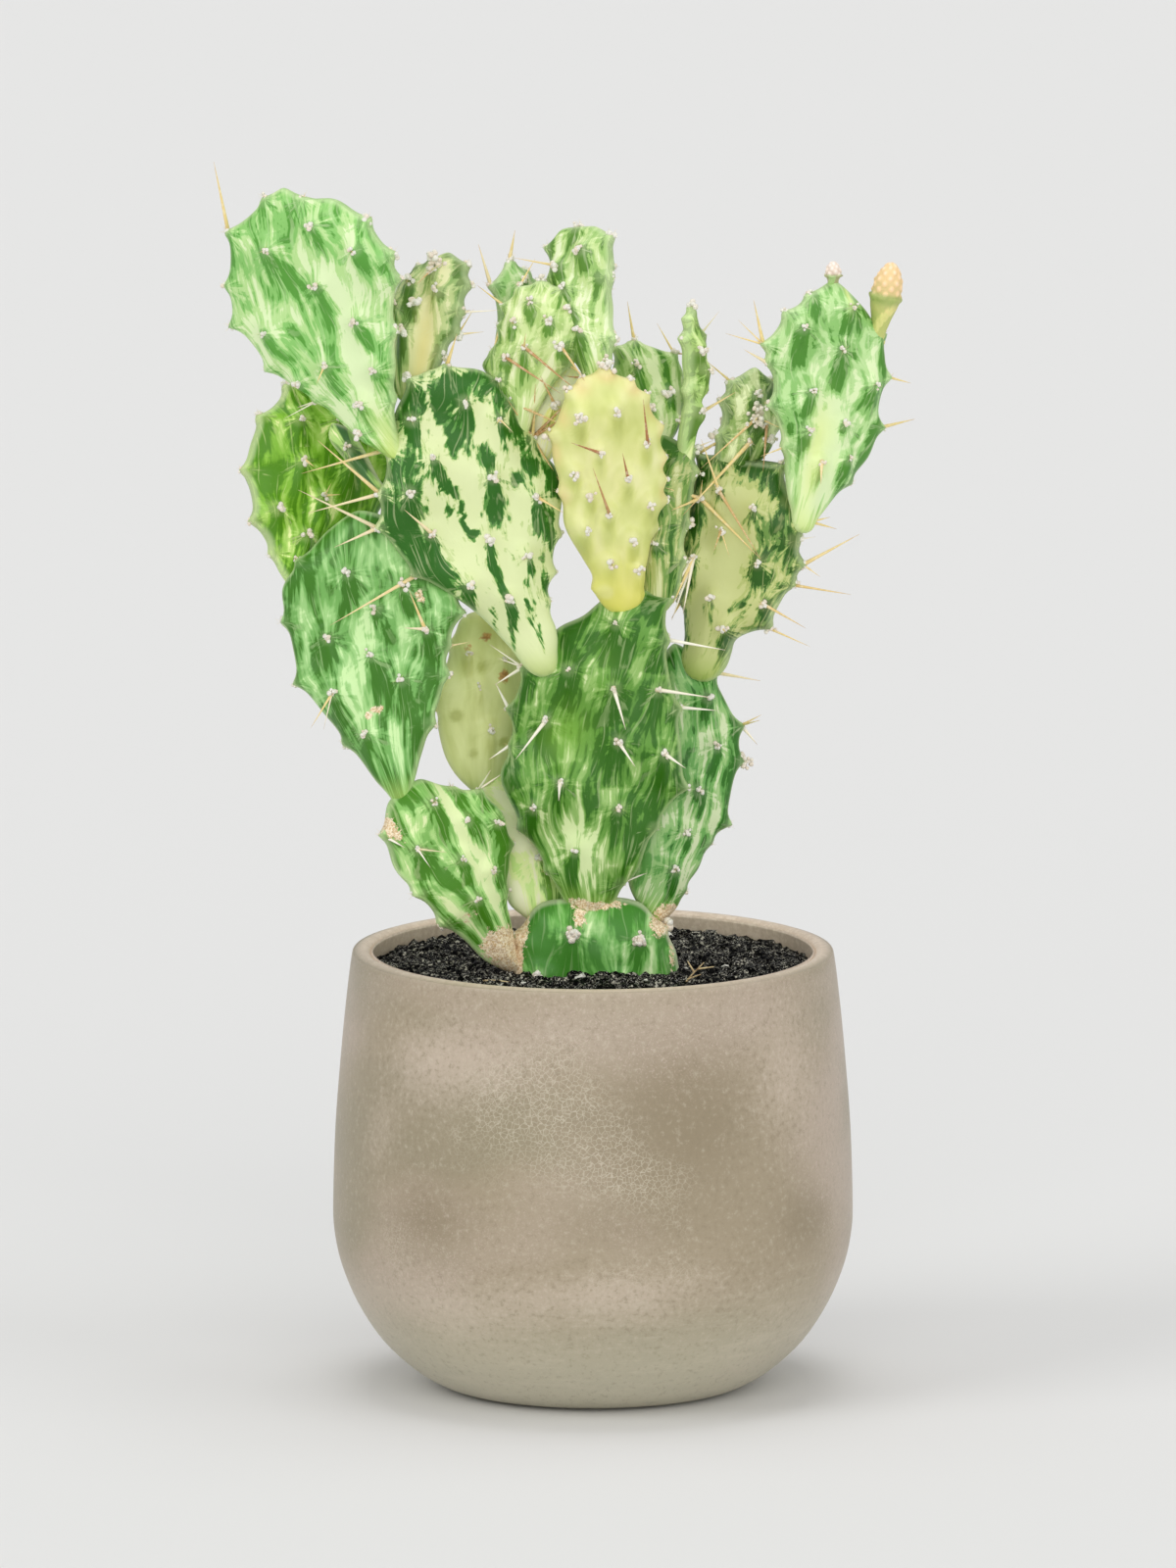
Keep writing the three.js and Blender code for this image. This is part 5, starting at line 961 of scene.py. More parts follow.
        mid=(144, 194, 114), dark=(80, 138, 50), cover=0.53, patch=0.5, spokes=0.7, streak=0.45, fine=0.5,
        deep=[(70, 295, 6, 14, -0.45), (66, 279, 4, 9, -0.35), (87, 313, 1.8, 13, 0.5),
              (85.5, 294, 3, 5, 0.45), (82, 288, 3, 5, 0.45), (79.5, 282, 2.6, 6, 0.4),
              (84, 318, 1.5, 9, -0.45), (85.5, 302, 2.2, 3, -0.4), (74.2, 318.5, 1.8, 5, 0.6),
              (72, 311.5, 3.2, 4, 0.5), (60.8, 321, 2.2, 7, 0.35), (65.6, 321.5, 1.5, 3.4, 0.35),
              (58, 311, 3.6, 8, 0.2), (62.7, 304, 0.8, 5, 0.7), (73.7, 299, 0.8, 3.5, 0.8),
              (75.8, 305, 1.3, 3, 0.5), (69, 304, 1, 1.4, 0.45), (78, 296, 3, 5, 0.3),
              (73.5, 283, 1.3, 7, 0.4), (82, 333, 2.4, 7, 0.35), (79, 310, 2.5, 8, -0.1),
              (68, 330, 6, 6, 0.12)],
        warm=[(64.5, 284, 2.4, 13, 0.5), (68, 297, 3, 9, 0.4), (76.3, 339, 0.8, 4, 0.7)],
        warmTint=(232, 243, 156), root=(208, 228, 130), rootReach=0.15),
}


def looksOf(name):
    return {**plainLooks, **padLooks[name]}


plant = {}
for name, row in pads.items():
    plant[name] = Pad(name, row)
skins = {name: padSkin(pad, looksOf(name), number) for number, (name, pad) in enumerate(plant.items(), 1)}
print("stage: the skins of", len(skins), "pads are made")

# Wool, bristles and spines. Sizes in millimetres; "spines" is the share of areoles with a long spine, and
# the spreads say how far a thing strays from the middle of its areole or from pointing straight out
areoleParts = dict(
    seed=41, wool=1.15, curds=7, curdSpread=0.5, curdLift=0.25, tuftSpread=0.42, tuftLift=0.8, bristles=7,
    bristleSpread=0.55, bristleLength=2.2, bristleGirth=0.07, bristleCurve=0.15, spines=0.3,
    spineSpread=0.55, spineDroop=0.3, spineGirth=0.42, spineLeast=7, spineMore=8, needleGirth=0.74,
    curve=0.06, point=0.06)


def areolesOf(pad):  # the place, the way it faces, the spot on the sheet, and 1 front, -1 back or 0 edge
    found = []
    for side, dots in ((1, pad.dots), (-1, pad.backDots)):
        if len(dots):
            gap = pad.edgeGap(dots)
            places = pad.lift(dots, side * pad.rise(dots, gap, dots))
            found += [(place, pad.normal * side, dot, side) for place, dot in zip(places, dots)]
    for dot in pad.rimDots:
        reach = (dot - pad.root) @ pad.along
        away = dot - (pad.root + pad.along * reach * 0.8)
        away = np.array([away[0], 0, away[1]]) / np.linalg.norm(away)
        found.append((pad.lift(dot[None], np.zeros(1))[0], away, dot, 0))
    return found


def nearestSpot(spots, x, z):  # of those that show from the front
    shown = [spot for spot in spots if spot[3] >= 0]
    return min(shown, key=lambda spot: float(np.hypot(*(spot[2] - (x, z)))))


def needleTree(name, sides, segments):  # a tapered, slightly curved needle on every point
    tree, b, entry, sockets = geometryTree(name, {
        "Curve": ("NodeSocketFloat", 0.05),
        "Point": ("NodeSocketFloat", 0.08),
    })
    cone = b.node("GeometryNodeMeshCone", {"fill_type": "NGON"},
                  {"Vertices": sides, "Side Segments": segments, "Radius Top": entry["Point"],
                   "Radius Bottom": 1.0, "Depth": 1.0})
    height = b.height(b.node("GeometryNodeInputPosition"))
    shift = b.node("ShaderNodeCombineXYZ", None, {0: entry["Curve"] * height * height})
    shape = b.node("GeometryNodeSetPosition", None, {"Geometry": cone, "Offset": shift})
    shape = b.keep(shape, "POINT", "way", height)
    aim, size = b.field("aim", "FLOAT_VECTOR"), b.field("size", "FLOAT_VECTOR")
    turn = b.node("FunctionNodeAlignRotationToVector", {"axis": "Z"}, {"Vector": aim})
    about = b.node("FunctionNodeAxisAngleToRotation", None,
                   {"Axis": (0, 0, 1), "Angle": b.random(7, 6.283)})
    turn = b.node("FunctionNodeRotateRotation", {"rotation_space": "LOCAL"},
                  {"Rotation": turn, "Rotate By": about})
    return tree, b, b.setOnPoints(entry["Geometry"], shape, turn, size), sockets


def pointCloud(name, points, fields):
    made = meshObject(name, np.array(points) * mm, [], smooth=False)
    for label, (values, kind) in fields.items():
        addValues(made.data, label, values, kind)
    return made


def spineMaterial():
    def build(b):
        way, tone = b.attribute("way"), b.attribute("tone")
        bands = b.cloud(b.place(), 900.0)
        body = b.mix(b.step(tone, 0.1, 0.5), tint((252, 246, 230)), tint((240, 214, 142)))
        body = b.mix(b.step(tone, 0.6, 0.9), body, tint((176, 118, 74)))
        body = b.mix(b.step(way, 0.7, 1.0) * 0.5, body, tint((170, 122, 84)))
        body = b.mix(b.step(way, 0.14, 0.0) * 0.5, body, tint((236, 210, 170)))
        body = b.mix(b.step(bands, 0.45, 0.7) * 0.35, body, tint((255, 246, 222)))
        return {"Base Color": body, "Roughness": 0.42 + 0.1 * bands}
    return newMaterial("spine_straw", build)


def woolMaterial():
    def build(b):
        fluff = b.cloud(b.place(), 2400.0, 4.0, 0.75)
        tone = b.attribute("tone")
        shaded = b.mix(tone, tint((240, 230, 210)), tint((220, 190, 164)))
        body = b.mix(b.step(tone, 0.4, 1.0), tint((255, 252, 240)), tint((253, 240, 220)))
        body = b.mix(b.step(fluff, 0.3, 0.44), shaded, body)
        return {"Base Color": body, "Roughness": 0.95, "Normal": b.bump(fluff, 0.7, 0.0008)}
    return newMaterial("areole_wool", build)


# How thick the wool is and how many spines a pad carries, as a factor, and how dark the spines are, 0 to 1
plainSpines = (1, 0.5, 0.4)
padSpines = {
    "base_pad": (1.5, 0.0, 0.3), "central_pad": (0.8, 0.5, 0.1), "lower_left_pad": (0.8, 0.4, 0.2),
    "lower_right_pad": (0.9, 0.8, 0.3), "pale_pad": (0.8, 0.4, 0.5), "left_big_pad": (1.0, 0.7, 0.35),
    "cream_front_pad": (1.1, 0.6, 0.45), "top_left_pad": (1.0, 0.15, 0.4),
    "yellow_pad": (1.05, 0.25, 0.85), "upper_pale_pad": (0.9, 0.8, 0.6), "olive_pad": (1.2, 2.6, 0.75),
    "narrow_top_pad": (1.1, 0.3, 0.4), "twisted_pad": (1.2, 0.4, 0.4), "tall_back_pad": (1.0, 1.0, 0.4),
    "upper_back_pad": (1.2, 0.8, 0.6), "cream_right_pad": (1.0, 1.4, 0.6),
    "small_right_pad": (1.1, 1.4, 0.6), "top_right_pad": (0.8, 0.4, 0.5),
}

# Dry spines seen crossing the gaps: from x, z to x, z, how far forward they lean, how dark they are
looseSpines = {
    "cream_front_pad": [(-15.4, 295.4, -17.5, 311, 6, 0.75), (-15.4, 295.4, -26, 306, 6, 0.7),
                        (-15.4, 295.4, -5, 303, 7, 0.8), (-10.5, 290.8, -18, 300.5, 6, 0.6),
                        (-10.5, 290.8, -4, 309, 8, 0.8), (-10.5, 290.8, -9, 279, 5, 0.7),
                        (-25, 305.8, -13, 299.7, 6, 0.75), (-18.8, 302.2, -6, 296.9, 7, 0.7)],
    "upper_pale_pad": [(-14, 318, -4, 308, 6, 0.8), (-10, 326, -2, 311, 6, 0.7),
                       (-20, 316, -10, 308, 7, 0.8)],
    "small_right_pad": [(42.8, 293.9, 27.4, 270.4, 9, 0.5), (45, 300, 33, 285, 8, 0.7),
                        (50, 300, 52, 284, 7, 0.8)],
    "cream_right_pad": [(38.6, 278.6, 51.5, 256.6, 6, 0.75), (31.3, 257.2, 22.6, 244.4, 5, 0.15),
                        (31.3, 257.2, 24.1, 238, 4, 0.1), (31.3, 257.2, 27.5, 240, 6, 0.2),
                        (33, 280, 24, 272, 6, 0.5), (33, 280, 22, 279, 6, 0.45),
                        (40, 284, 33, 294, 5, 0.6)],
    "left_big_pad": [(-48, 262, -58, 252, 5, 0.35), (-47, 240, -56, 247, 4, 0.5)],
}

# Thick tufts of wool: x, z, how wide, how many curds
woolTufts = {
    "small_right_pad": [(46.3, 301.3, 3.4, 34)], "twisted_pad": [(-44, 352, 3.0, 30)],
    "base_pad": [(-6.5, 143, 1.8, 16), (14.5, 140.5, 2.2, 20)], "lower_right_pad": [(42.6, 194, 2.6, 22)],
    "yellow_pad": [(-8.5, 303, 2.2, 12), (4, 315, 2.6, 16)],
}


def vary(middle, spread):  # a number near the middle one, kept within 0 and 1
    return float(np.clip(middle + dice.normal(0, spread), 0, 1))


dice = np.random.default_rng(areoleParts["seed"])
curds, needles, bristles = [], [], []
for name, pad in plant.items():
    woolSize, spiny, dark = padSpines.get(name, plainSpines)
    spots = areolesOf(pad)
    for place, facing, dot, side in spots:
        size = woolSize * areoleParts["wool"] * (0.75 + 0.5 * dice.random())
        for k in range(areoleParts["curds"]):
            jitter = dice.normal(0, areoleParts["curdSpread"], 3) * size
            curds.append((place + facing * areoleParts["curdLift"] + jitter,
                          size * (0.38 + 0.34 * dice.random()), dice.random()))
        for k in range(areoleParts["bristles"]):
            aim = unit(facing + dice.normal(0, areoleParts["bristleSpread"], 3))
            length = areoleParts["bristleLength"] * (0.6 + 0.8 * dice.random())
            bristles.append((place + facing * 0.1, aim, areoleParts["bristleGirth"], length,
                             0.2 + 0.5 * dice.random()))
        if dice.random() < areoleParts["spines"] * spiny:
            for k in range(1 + int(dice.random() * 2)):
                aim = facing * 1.1 + dice.normal(0, areoleParts["spineSpread"], 3)
                aim = unit(aim - np.array([0, 0, areoleParts["spineDroop"]]))
                girth = areoleParts["spineGirth"] * (0.8 + 0.4 * dice.random())
                length = areoleParts["spineLeast"] + areoleParts["spineMore"] * dice.random()
                needles.append((place - aim * 0.6, aim, girth, length, vary(dark, 0.15)))
    for x, z, wide, count in woolTufts.get(name, []):
        near = nearestSpot(spots, x, z)
        for k in range(count):
            jitter = dice.normal(0, areoleParts["tuftSpread"], 3) * wide
            curds.append((near[0] + near[1] * areoleParts["tuftLift"] + jitter,
                          0.5 + 0.5 * dice.random(), 0.5 + 0.5 * dice.random()))
    placed = [(*needle, vary(dark, 0.08)) for needle in pad.row["needles"]]
    for x0, z0, x1, z1, forward, tone in placed + looseSpines.get(name, []):
        place = nearestSpot(spots, x0, z0)[0]
        y = place[1] - forward
        end = np.array([x1, y, z1 - sheetDrop * y])
        girth = areoleParts["needleGirth"] * (0.8 if tone > 0.55 else 1)
        needles.append((place - unit(end - place) * 0.8, unit(end - place), girth,
                        float(np.linalg.norm(end - place)) + 0.8, tone))

straw, wool = spineMaterial(), woolMaterial()


def finishCloud(name, source, tree, sockets, values):
    made = growFrom(name, source, tree, sockets, values)
    made.data.shade_smooth()
    bpy.data.objects.remove(source)
    return made


def growNeedles(name, rows, sides, segments, curve):
    source = pointCloud(name + "_points", [r[0] for r in rows], {
        "aim": ([r[1] for r in rows], "FLOAT_VECTOR"),
        "size": ([(r[2] * mm, r[2] * mm, r[3] * mm) for r in rows], "FLOAT_VECTOR"),
        "tone": ([r[4] for r in rows], "FLOAT"),
    })
    tree, b, placed, sockets = needleTree(name + "_tree", sides, segments)
    endTree(b, placed, straw)
    return finishCloud(name, source, tree, sockets, {"Curve": curve, "Point": areoleParts["point"]})


spinePiece = growNeedles("long_spines", needles, 6, 4, areoleParts["curve"])
bristlePiece = growNeedles("fine_bristles", bristles, 3, 2, areoleParts["bristleCurve"])
print("stage:", len(needles), "spines and", len(bristles), "bristles are set")


def growWool():
    source = pointCloud("wool_points", [c[0] for c in curds], {
        "girth": ([c[1] * mm for c in curds], "FLOAT"),
        "tone": ([c[2] for c in curds], "FLOAT"),
    })
    tree, b, entry, sockets = geometryTree("wool_tree", {"Lump": ("NodeSocketFloat", 0.35)})
    ball = b.node("GeometryNodeMeshUVSphere", None, {"Segments": 7, "Rings": 4, "Radius": 1.0})
    ball = b.lumpy(ball, 1.6, entry["Lump"])
    endTree(b, b.setOnPoints(entry["Geometry"], ball, b.randomTurn(3), b.field("girth")), wool)
    return finishCloud("areole_wool", source, tree, sockets, {"Lump": 0.9})


woolPiece = growWool()
print("stage: the wool is laid in", len(curds), "curds")

# The two buds: root and tip on the same sheet as the pads, girth from root to tip. The scales stand in a
# spiral, round on the cap, which begins at the share "capFrom" of the length, and long and few below it
buds = {
    "peach_bud": dict(
        root=(86.3, 323), tip=(91.6, 349), girth=(2.6, 2.5, 3.3, 4.4, 4.9, 4.8, 3.2), scales=110,
        scaleSize=0.95, scaleHeight=0.5, capFrom=0.6, low=(226, 224, 140), high=(250, 212, 158),
        cap=(255, 232, 200), crease=(150, 172, 84), flare=(128, 170, 84)),
    "knob_bud": dict(
        root=(73.3, 338), tip=(73.4, 349.2), girth=(2.1, 1.9, 1.7, 1.9, 2.6, 2.5, 1.6), scales=60,
        scaleSize=0.8, scaleHeight=0.5, capFrom=0.62, low=(156, 198, 112), high=(240, 222, 204),
        cap=(255, 244, 238), crease=(160, 116, 104), flare=(150, 196, 106)),
}
budForm = dict(around=56, rings=60, spiral=2.399963, longScale=2.6, narrowCap=0.93)


def budSkin(name, row):
    depth = float(plant["top_right_pad"].depthAt(np.array([row["root"]], float))[0])
    base, tip = (np.array([x, depth, z - sheetDrop * depth]) for x, z in (row["root"], row["tip"]))
    way = tip - base
    across = np.array([way[2], 0, -way[0]]) / np.hypot(way[0], way[2])
    count, rings, capFrom = budForm["around"], budForm["rings"], row["capFrom"]
    places = (np.arange(len(row["girth"])) + 0.35) / len(row["girth"])
    points, reach, crests = [base], [0.0], [0.5]
    crown = [(i / row["scales"], i * budForm["spiral"]) for i in range(row["scales"])]
    for ring in range(1, rings):
        t = ring / rings
        r = np.interp(t, [0, *places, 1], [row["girth"][0] * 0.5, *row["girth"], row["girth"][-1] * 0.85])
        r = r * min(1, math.sqrt(max(0, (1 - t) * 9)) * 0.9 + 0.12)
        stretched = 1 if t > capFrom else budForm["longScale"]
        scales = [scale for i, scale in enumerate(crown) if (scale[0] > capFrom) == (t > capFrom)
                  and (stretched == 1 or i % 4 == 0)]
        for k in range(count):
            angle = 2 * math.pi * k / count
            lift = 0
            for high, turn in scales:
                swing = (angle - turn + math.pi) % (2 * math.pi) - math.pi
                gap = ((t - high) * np.linalg.norm(way) / row["scaleSize"] / stretched) ** 2
                gap += (swing * r / row["scaleSize"]) ** 2
                lift = max(lift, math.exp(-gap * 1.4))
            scallop = 0.45 + 0.35 * math.cos(7 * angle) + 0.2 * math.cos(3 * angle + 1)
            scallop = math.exp(-((t - capFrom + 0.02) / 0.035) ** 2) * scallop
            here = r * (budForm["narrowCap"] if t > capFrom else 1)
            here = here + row["scaleHeight"] * (lift - 0.35 + 1.6 * scallop)
            out = across * math.cos(angle) + np.array([0, 1, 0]) * math.sin(angle)
            points.append(base + way * t + here * out)
            reach.append(t)
            crests.append(lift)
    points.append(tip)
    reach.append(1.0)
    crests.append(0.5)

    def build(b):
        t, crest = b.attribute("reach"), b.attribute("crest")
        mottle = b.cloud(b.place(), 900.0, 3.0, 0.6)
        body = b.mix(b.step(t + (mottle - 0.5) * 0.3, capFrom - 0.25, capFrom + 0.1),
                     tint(row["low"]), tint(row["high"]))
        body = b.mix(b.step(crest, 0.4, 0.8) * b.step(t, capFrom - 0.1, 0.9) * 0.7, body, tint(row["cap"]))
        collar = b.step(t, capFrom - 0.16, capFrom - 0.04) * b.step(t, capFrom + 0.06, capFrom)
        body = b.mix(collar * (0.35 + 0.6 * mottle), body, tint(row["flare"]))
        body = b.mix(b.step(crest + (mottle - 0.5) * 0.4, 0.42, 0.1) * 0.5 * b.step(t, 1.1, 0.4),
                     body, tint(row["crease"]))
        return {"Base Color": body, "Roughness": 0.5 + 0.15 * mottle,
                "Normal": b.bump(mottle, 0.4, 0.0006)}

    faces = closedRings(rings - 1, count)
    made = meshObject(name + "_skin", np.array(points) * mm, faces, newMaterial(name + "_skin", build))
    addValues(made.data, "reach", reach)
    addValues(made.data, "crest", crests)
    return made


budSkins = {name: budSkin(name, row) for name, row in buds.items()}
print("stage: the buds are made")

# The pot, as it is turned: radius and height in millimetres. Hazes, dusks and crackles are soft patches of
# the glaze: degrees from the front, height, the two spreads and the amount
pot = dict(
    outer=[(41.5, 0), (46, 0.8), (50, 2.4), (56.6, 6.6), (65.7, 15.3), (72.9, 26.5), (77.7, 38.3),
           (79.8, 48.5), (80.1, 58), (79.4, 80), (77.9, 100), (76.2, 118), (74.3, 133.6)],
    lip=[(73.3, 135.3), (71.6, 136), (69.5, 135.5), (68.4, 134)],
    inner=[(68.1, 129), (73.8, 66), (70.5, 38), (56, 17), (40, 9)], around=176, between=4,
    body=(160, 146, 121), rose=(178, 162, 144), olive=(146, 136, 110), haze=(196, 180, 162),
    dusk=(138, 124, 98), pale=(206, 197, 176), shade=(134, 121, 97), pit=(206, 184, 172),
    foot=(200, 195, 173), lining=(216, 196, 174), liningPale=(232, 214, 194),
    hazes=[(-36, 112, 20, 14, 0.8), (50, 107, 14, 22, 0.75), (4, 42, 30, 9, 0.75), (-32, 34, 20, 9, 0.5),
           (-56, 86, 9, 14, 0.5), (150, 96, 20, 16, 0.8), (210, 40, 30, 12, 0.7), (265, 104, 14, 14, 0.5),
           (100, 36, 24, 9, 0.6)],
    dusks=[(18, 96, 24, 24, 1.0), (-40, 64, 12, 13, 0.9), (56, 60, 12, 12, 0.8), (4, 64, 20, 9, 0.5),
           (120, 80, 20, 18, 0.7), (185, 70, 24, 20, 0.8), (240, 84, 14, 20, 0.6)],
    crackles=[(-14, 96, 20, 26, 1), (12, 77, 16, 18, 0.6), (40, 98, 14, 24, 0.5), (-45, 54, 16, 14, 0.5),
              (10, 46, 30, 12, 0.5), (140, 70, 26, 26, 0.9), (230, 80, 26, 30, 0.8),
              (90, 50, 20, 20, 0.6)])
potAngles = 2 * np.pi * np.arange(pot["around"]) / pot["around"]


def smoothLine(line, between):  # a rounded run through the listed points
    line = np.array(line, float)
    found = []
    for i in range(len(line) - 1):
        p0, p1, p2, p3 = line[max(i - 1, 0)], line[i], line[i + 1], line[min(i + 2, len(line) - 1)]
        for k in range(between):
            t = k / between
            found.append(0.5 * (2 * p1 + (p2 - p0) * t + (2 * p0 - 5 * p1 + 4 * p2 - p3) * t ** 2
                                + (3 * p1 - p0 - 3 * p2 + p3) * t ** 3))
    found.append(line[-1])
    return np.array(found)


def glazePatches(points, spots):
    values = []
    for x, y, z in points:
        turn = math.degrees(math.atan2(x, -y))
        values.append(sum(amount * math.exp(-(((turn - at + 180) % 360 - 180) / wide) ** 2
                                            - ((z - high) / tall) ** 2)
                          for at, high, wide, tall, amount in spots))
    return values


def glazeMaterial():
    def build(b):
        place = b.place()
        height, haze, dusk = b.height(place), b.attribute("haze"), b.attribute("dusk")
        clouds = b.cloud(b.stretch(place, (1, 1, 1.7), (0.3, 0.1, 0.2)), 9.0)
        drift = b.cloud(b.stretch(place, (1, 1, 2.2), (1.3, 2.1, 0.7)), 12.0, 2.5, 0.55)
        patch = b.cloud(place, 34.0, 3.0, 0.6)
        fine = b.cloud(place, 520.0, 4.0, 0.7)
        pits = b.cloud(place, 1600.0, 2.0, 0.6)
        brush = b.cloud(b.stretch(place, (1, 1, 8)), 45.0, 4.0, 0.65)
        wobble = b.node("ShaderNodeTexNoise", None, {"Vector": place, "Scale": 420.0}, out=1)
        bent = b.vectors("ADD", place, b.stretch(wobble, (0.0012, 0.0012, 0.0012)))
        cracks = b.node("ShaderNodeTexVoronoi", {"feature": "DISTANCE_TO_EDGE"},
                        {"Vector": bent, "Scale": 650.0})
        lines = b.step(cracks, 0.075, 0.02)
        crackled = b.step(b.attribute("crackle") + (patch - 0.5) * 1.2, 0.3, 0.9)

        layers = [  # where each colour shows, laid one over the other
            (b.step(drift, 0.44, 0.64) * 0.75, "olive"),
            (b.step(dusk + (patch - 0.5) * 0.7, 0.0, 1.1) * 0.85, "dusk"),
            (b.step(haze + (patch - 0.5) * 0.7 + (fine - 0.5) * 0.9, 0.0, 1.3), "haze"),
            (b.step(height, 0.05, 0.0) * 0.85, "foot"),
            (lines * crackled * 0.55, "pale"),
            (b.step(fine, 0.53, 0.7) * 0.24, "pale"),
            (b.step(fine, 0.46, 0.34) * 0.34, "shade"),
            (b.step(pits, 0.56, 0.66) * b.step(clouds, 0.45, 0.62) * 0.35, "pit"),
            (b.step(brush, 0.5, 0.68) * b.step(height, 0.06, 0.01) * 0.3, "pale"),
            (b.step(height, 0.134, 0.1358) * 0.15, "pale"),
        ]
        body = b.mix(b.step(clouds, 0.46, 0.7), tint(pot["body"]), tint(pot["rose"]))
        for share, key in layers:
            body = b.mix(share, body, tint(pot[key]))
        inside = b.mix(b.step(fine, 0.4, 0.65), tint(pot["lining"]), tint(pot["liningPale"]))
        body = b.mix(b.attribute("lining"), body, inside)
        relief = 0.5 * fine + 0.25 * pits + 0.3 * lines + 0.15 * brush
        return {"Base Color": body, "Roughness": 0.42 + 0.16 * fine - 0.08 * lines,
                "Normal": b.bump(relief, 0.2, 0.0005), "Coat Weight": 0.4 + 0.2 * fine,
                "Coat Roughness": 0.4, "Specular IOR Level": 0.35}
    return newMaterial("pot_glaze", build)


def makePot():
    bottom = pot["inner"][-1][1]
    line = smoothLine(pot["outer"] + pot["lip"] + pot["inner"], pot["between"])
    line = np.vstack([[(20, 0)], line, [(20, bottom)]])
    points = [(0, 0, 0)]
    for r, z in line:
        points += ringPoints(r, z, potAngles)
    points.append((0, 0, bottom))
    faces = closedRings(len(line), pot["around"])
    made = meshObject("pot_glazed", np.array(points) * mm, faces, glazeMaterial())
    edge = len(pot["outer"]) * pot["between"] + 1  # the ring where the lining begins
    shares = [min(1, max(0, (ring - edge) / 6)) for ring in range(len(line))]
    addValues(made.data, "lining", [0, *np.repeat(shares, pot["around"]), 1])
    for label in ("haze", "dusk", "crackle"):
        addValues(made.data, label, glazePatches(points, pot[label + "s"]))
    return made


potPiece = makePot()
print("stage: the pot is turned")

# The soil: a lumpy bed in the pot and crumbs scattered on it. Lengths in millimetres, and "crumbs" is how
# many there are on a square millimetre
soil = dict(gap=0.4, rim=67.6, level=129.6, mound=2.2, lump=1.1, ringStep=1.7, rimDrop=0.6, crumbs=0.335,
            crumbSize=2.1, dark=(6, 6, 7), brown=(26, 23, 20), damp=(30, 28, 26), speck=(130, 120, 106),
            crumbDark=(2, 2, 3), crumbBrown=(26, 24, 22), paintedGlint=(184, 180, 164), white=(226, 224, 214))


def soilHeight(x, y):
    rise = soil["mound"] * math.exp(-(x * x + (y + 18) ** 2) / 1300)
    lump = noise.noise(Vector((x / 9, y / 9, 4.2))) * 0.9
    lump += noise.noise(Vector((x / 3.2, y / 3.2, 1.7))) * 0.5
    return soil["level"] + rise + soil["lump"] * lump


def soilMaterial():
    def build(b):
        grains = b.cloud(b.place(), 1500.0, 4.0, 0.75)
        damp = b.cloud(b.place(), 130.0, 3.0, 0.6)
        body = b.mix(b.step(grains, 0.5, 0.72), tint(soil["dark"]), tint(soil["brown"]))
        body = b.mix(b.step(damp, 0.5, 0.7) * 0.4, body, tint(soil["damp"]))
        body = b.mix(b.step(grains, 0.735, 0.76) * 0.6, body, tint(soil["speck"]))
        return {"Base Color": body, "Roughness": 0.9 - 0.4 * b.step(grains, 0.45, 0.7),
                "Normal": b.bump(grains, 0.8, 0.001), "Specular IOR Level": 0.03}
    return newMaterial("soil_peat", build)


def makeSoil():
    gap, edge = soil["gap"], soil["level"] - soil["rimDrop"]
    wall = [(r - gap, z + gap * 0.8) for r, z in reversed(pot["inner"][1:])]
    points = [(0, 0, wall[0][1])]
    for r, z in wall + [(soil["rim"], edge)]:
        points += ringPoints(r, z, potAngles)
    for r in np.arange(soil["rim"] - 1.4, 1.0, -soil["ringStep"]):
        ease = min(1.0, (soil["rim"] - r) / 4)  # the lumps begin a little way in from the pot
        for x, y, z in ringPoints(r, edge, potAngles):
            points.append((x, y, z + (soilHeight(x, y) - soil["level"] + soil["rimDrop"]) * ease))
    points.append((0, 0, soilHeight(0, 0)))
    faces = closedRings((len(points) - 2) // pot["around"], pot["around"])
    return meshObject("soil_bed", np.array(points) * mm, faces, peat)


def scatterCrumbs(bed):
    tree, b, entry, sockets = geometryTree("crumb_tree", {
        "Density": ("NodeSocketFloat", 100.0),
        "Crumb Size": ("NodeSocketFloat", 0.001),
    })
    height = b.height(b.node("GeometryNodeInputPosition"))
    facing = b.height(b.node("GeometryNodeInputNormal"))
    isTop = b.maths("GREATER_THAN", height, (soil["level"] - 4) * mm)
    isTop = isTop * b.maths("GREATER_THAN", facing, 0.3)
    points = b.node("GeometryNodeDistributePointsOnFaces", {"distribute_method": "RANDOM"},
                    {"Mesh": entry["Geometry"], "Selection": isTop, "Density": entry["Density"],
                     "Seed": 11})
    ball = b.node("GeometryNodeMeshIcoSphere", None, {"Radius": 1.0, "Subdivisions": 1})
    ball = b.lumpy(ball, 1.3, 1.0)
    grade = b.random(9)
    size = entry["Crumb Size"] * (0.42 + 0.96 * grade * grade)  # many small ones, few large ones
    placed = b.keep(b.setOnPoints(points, ball, b.randomTurn(5), size), "INSTANCE", "tone", b.random(21))
    endTree(b, placed, crumb)
    values = {"Density": soil["crumbs"] * 1e6, "Crumb Size": soil["crumbSize"] * mm}
    return growFrom("soil_crumbs", bed, tree, sockets, values)


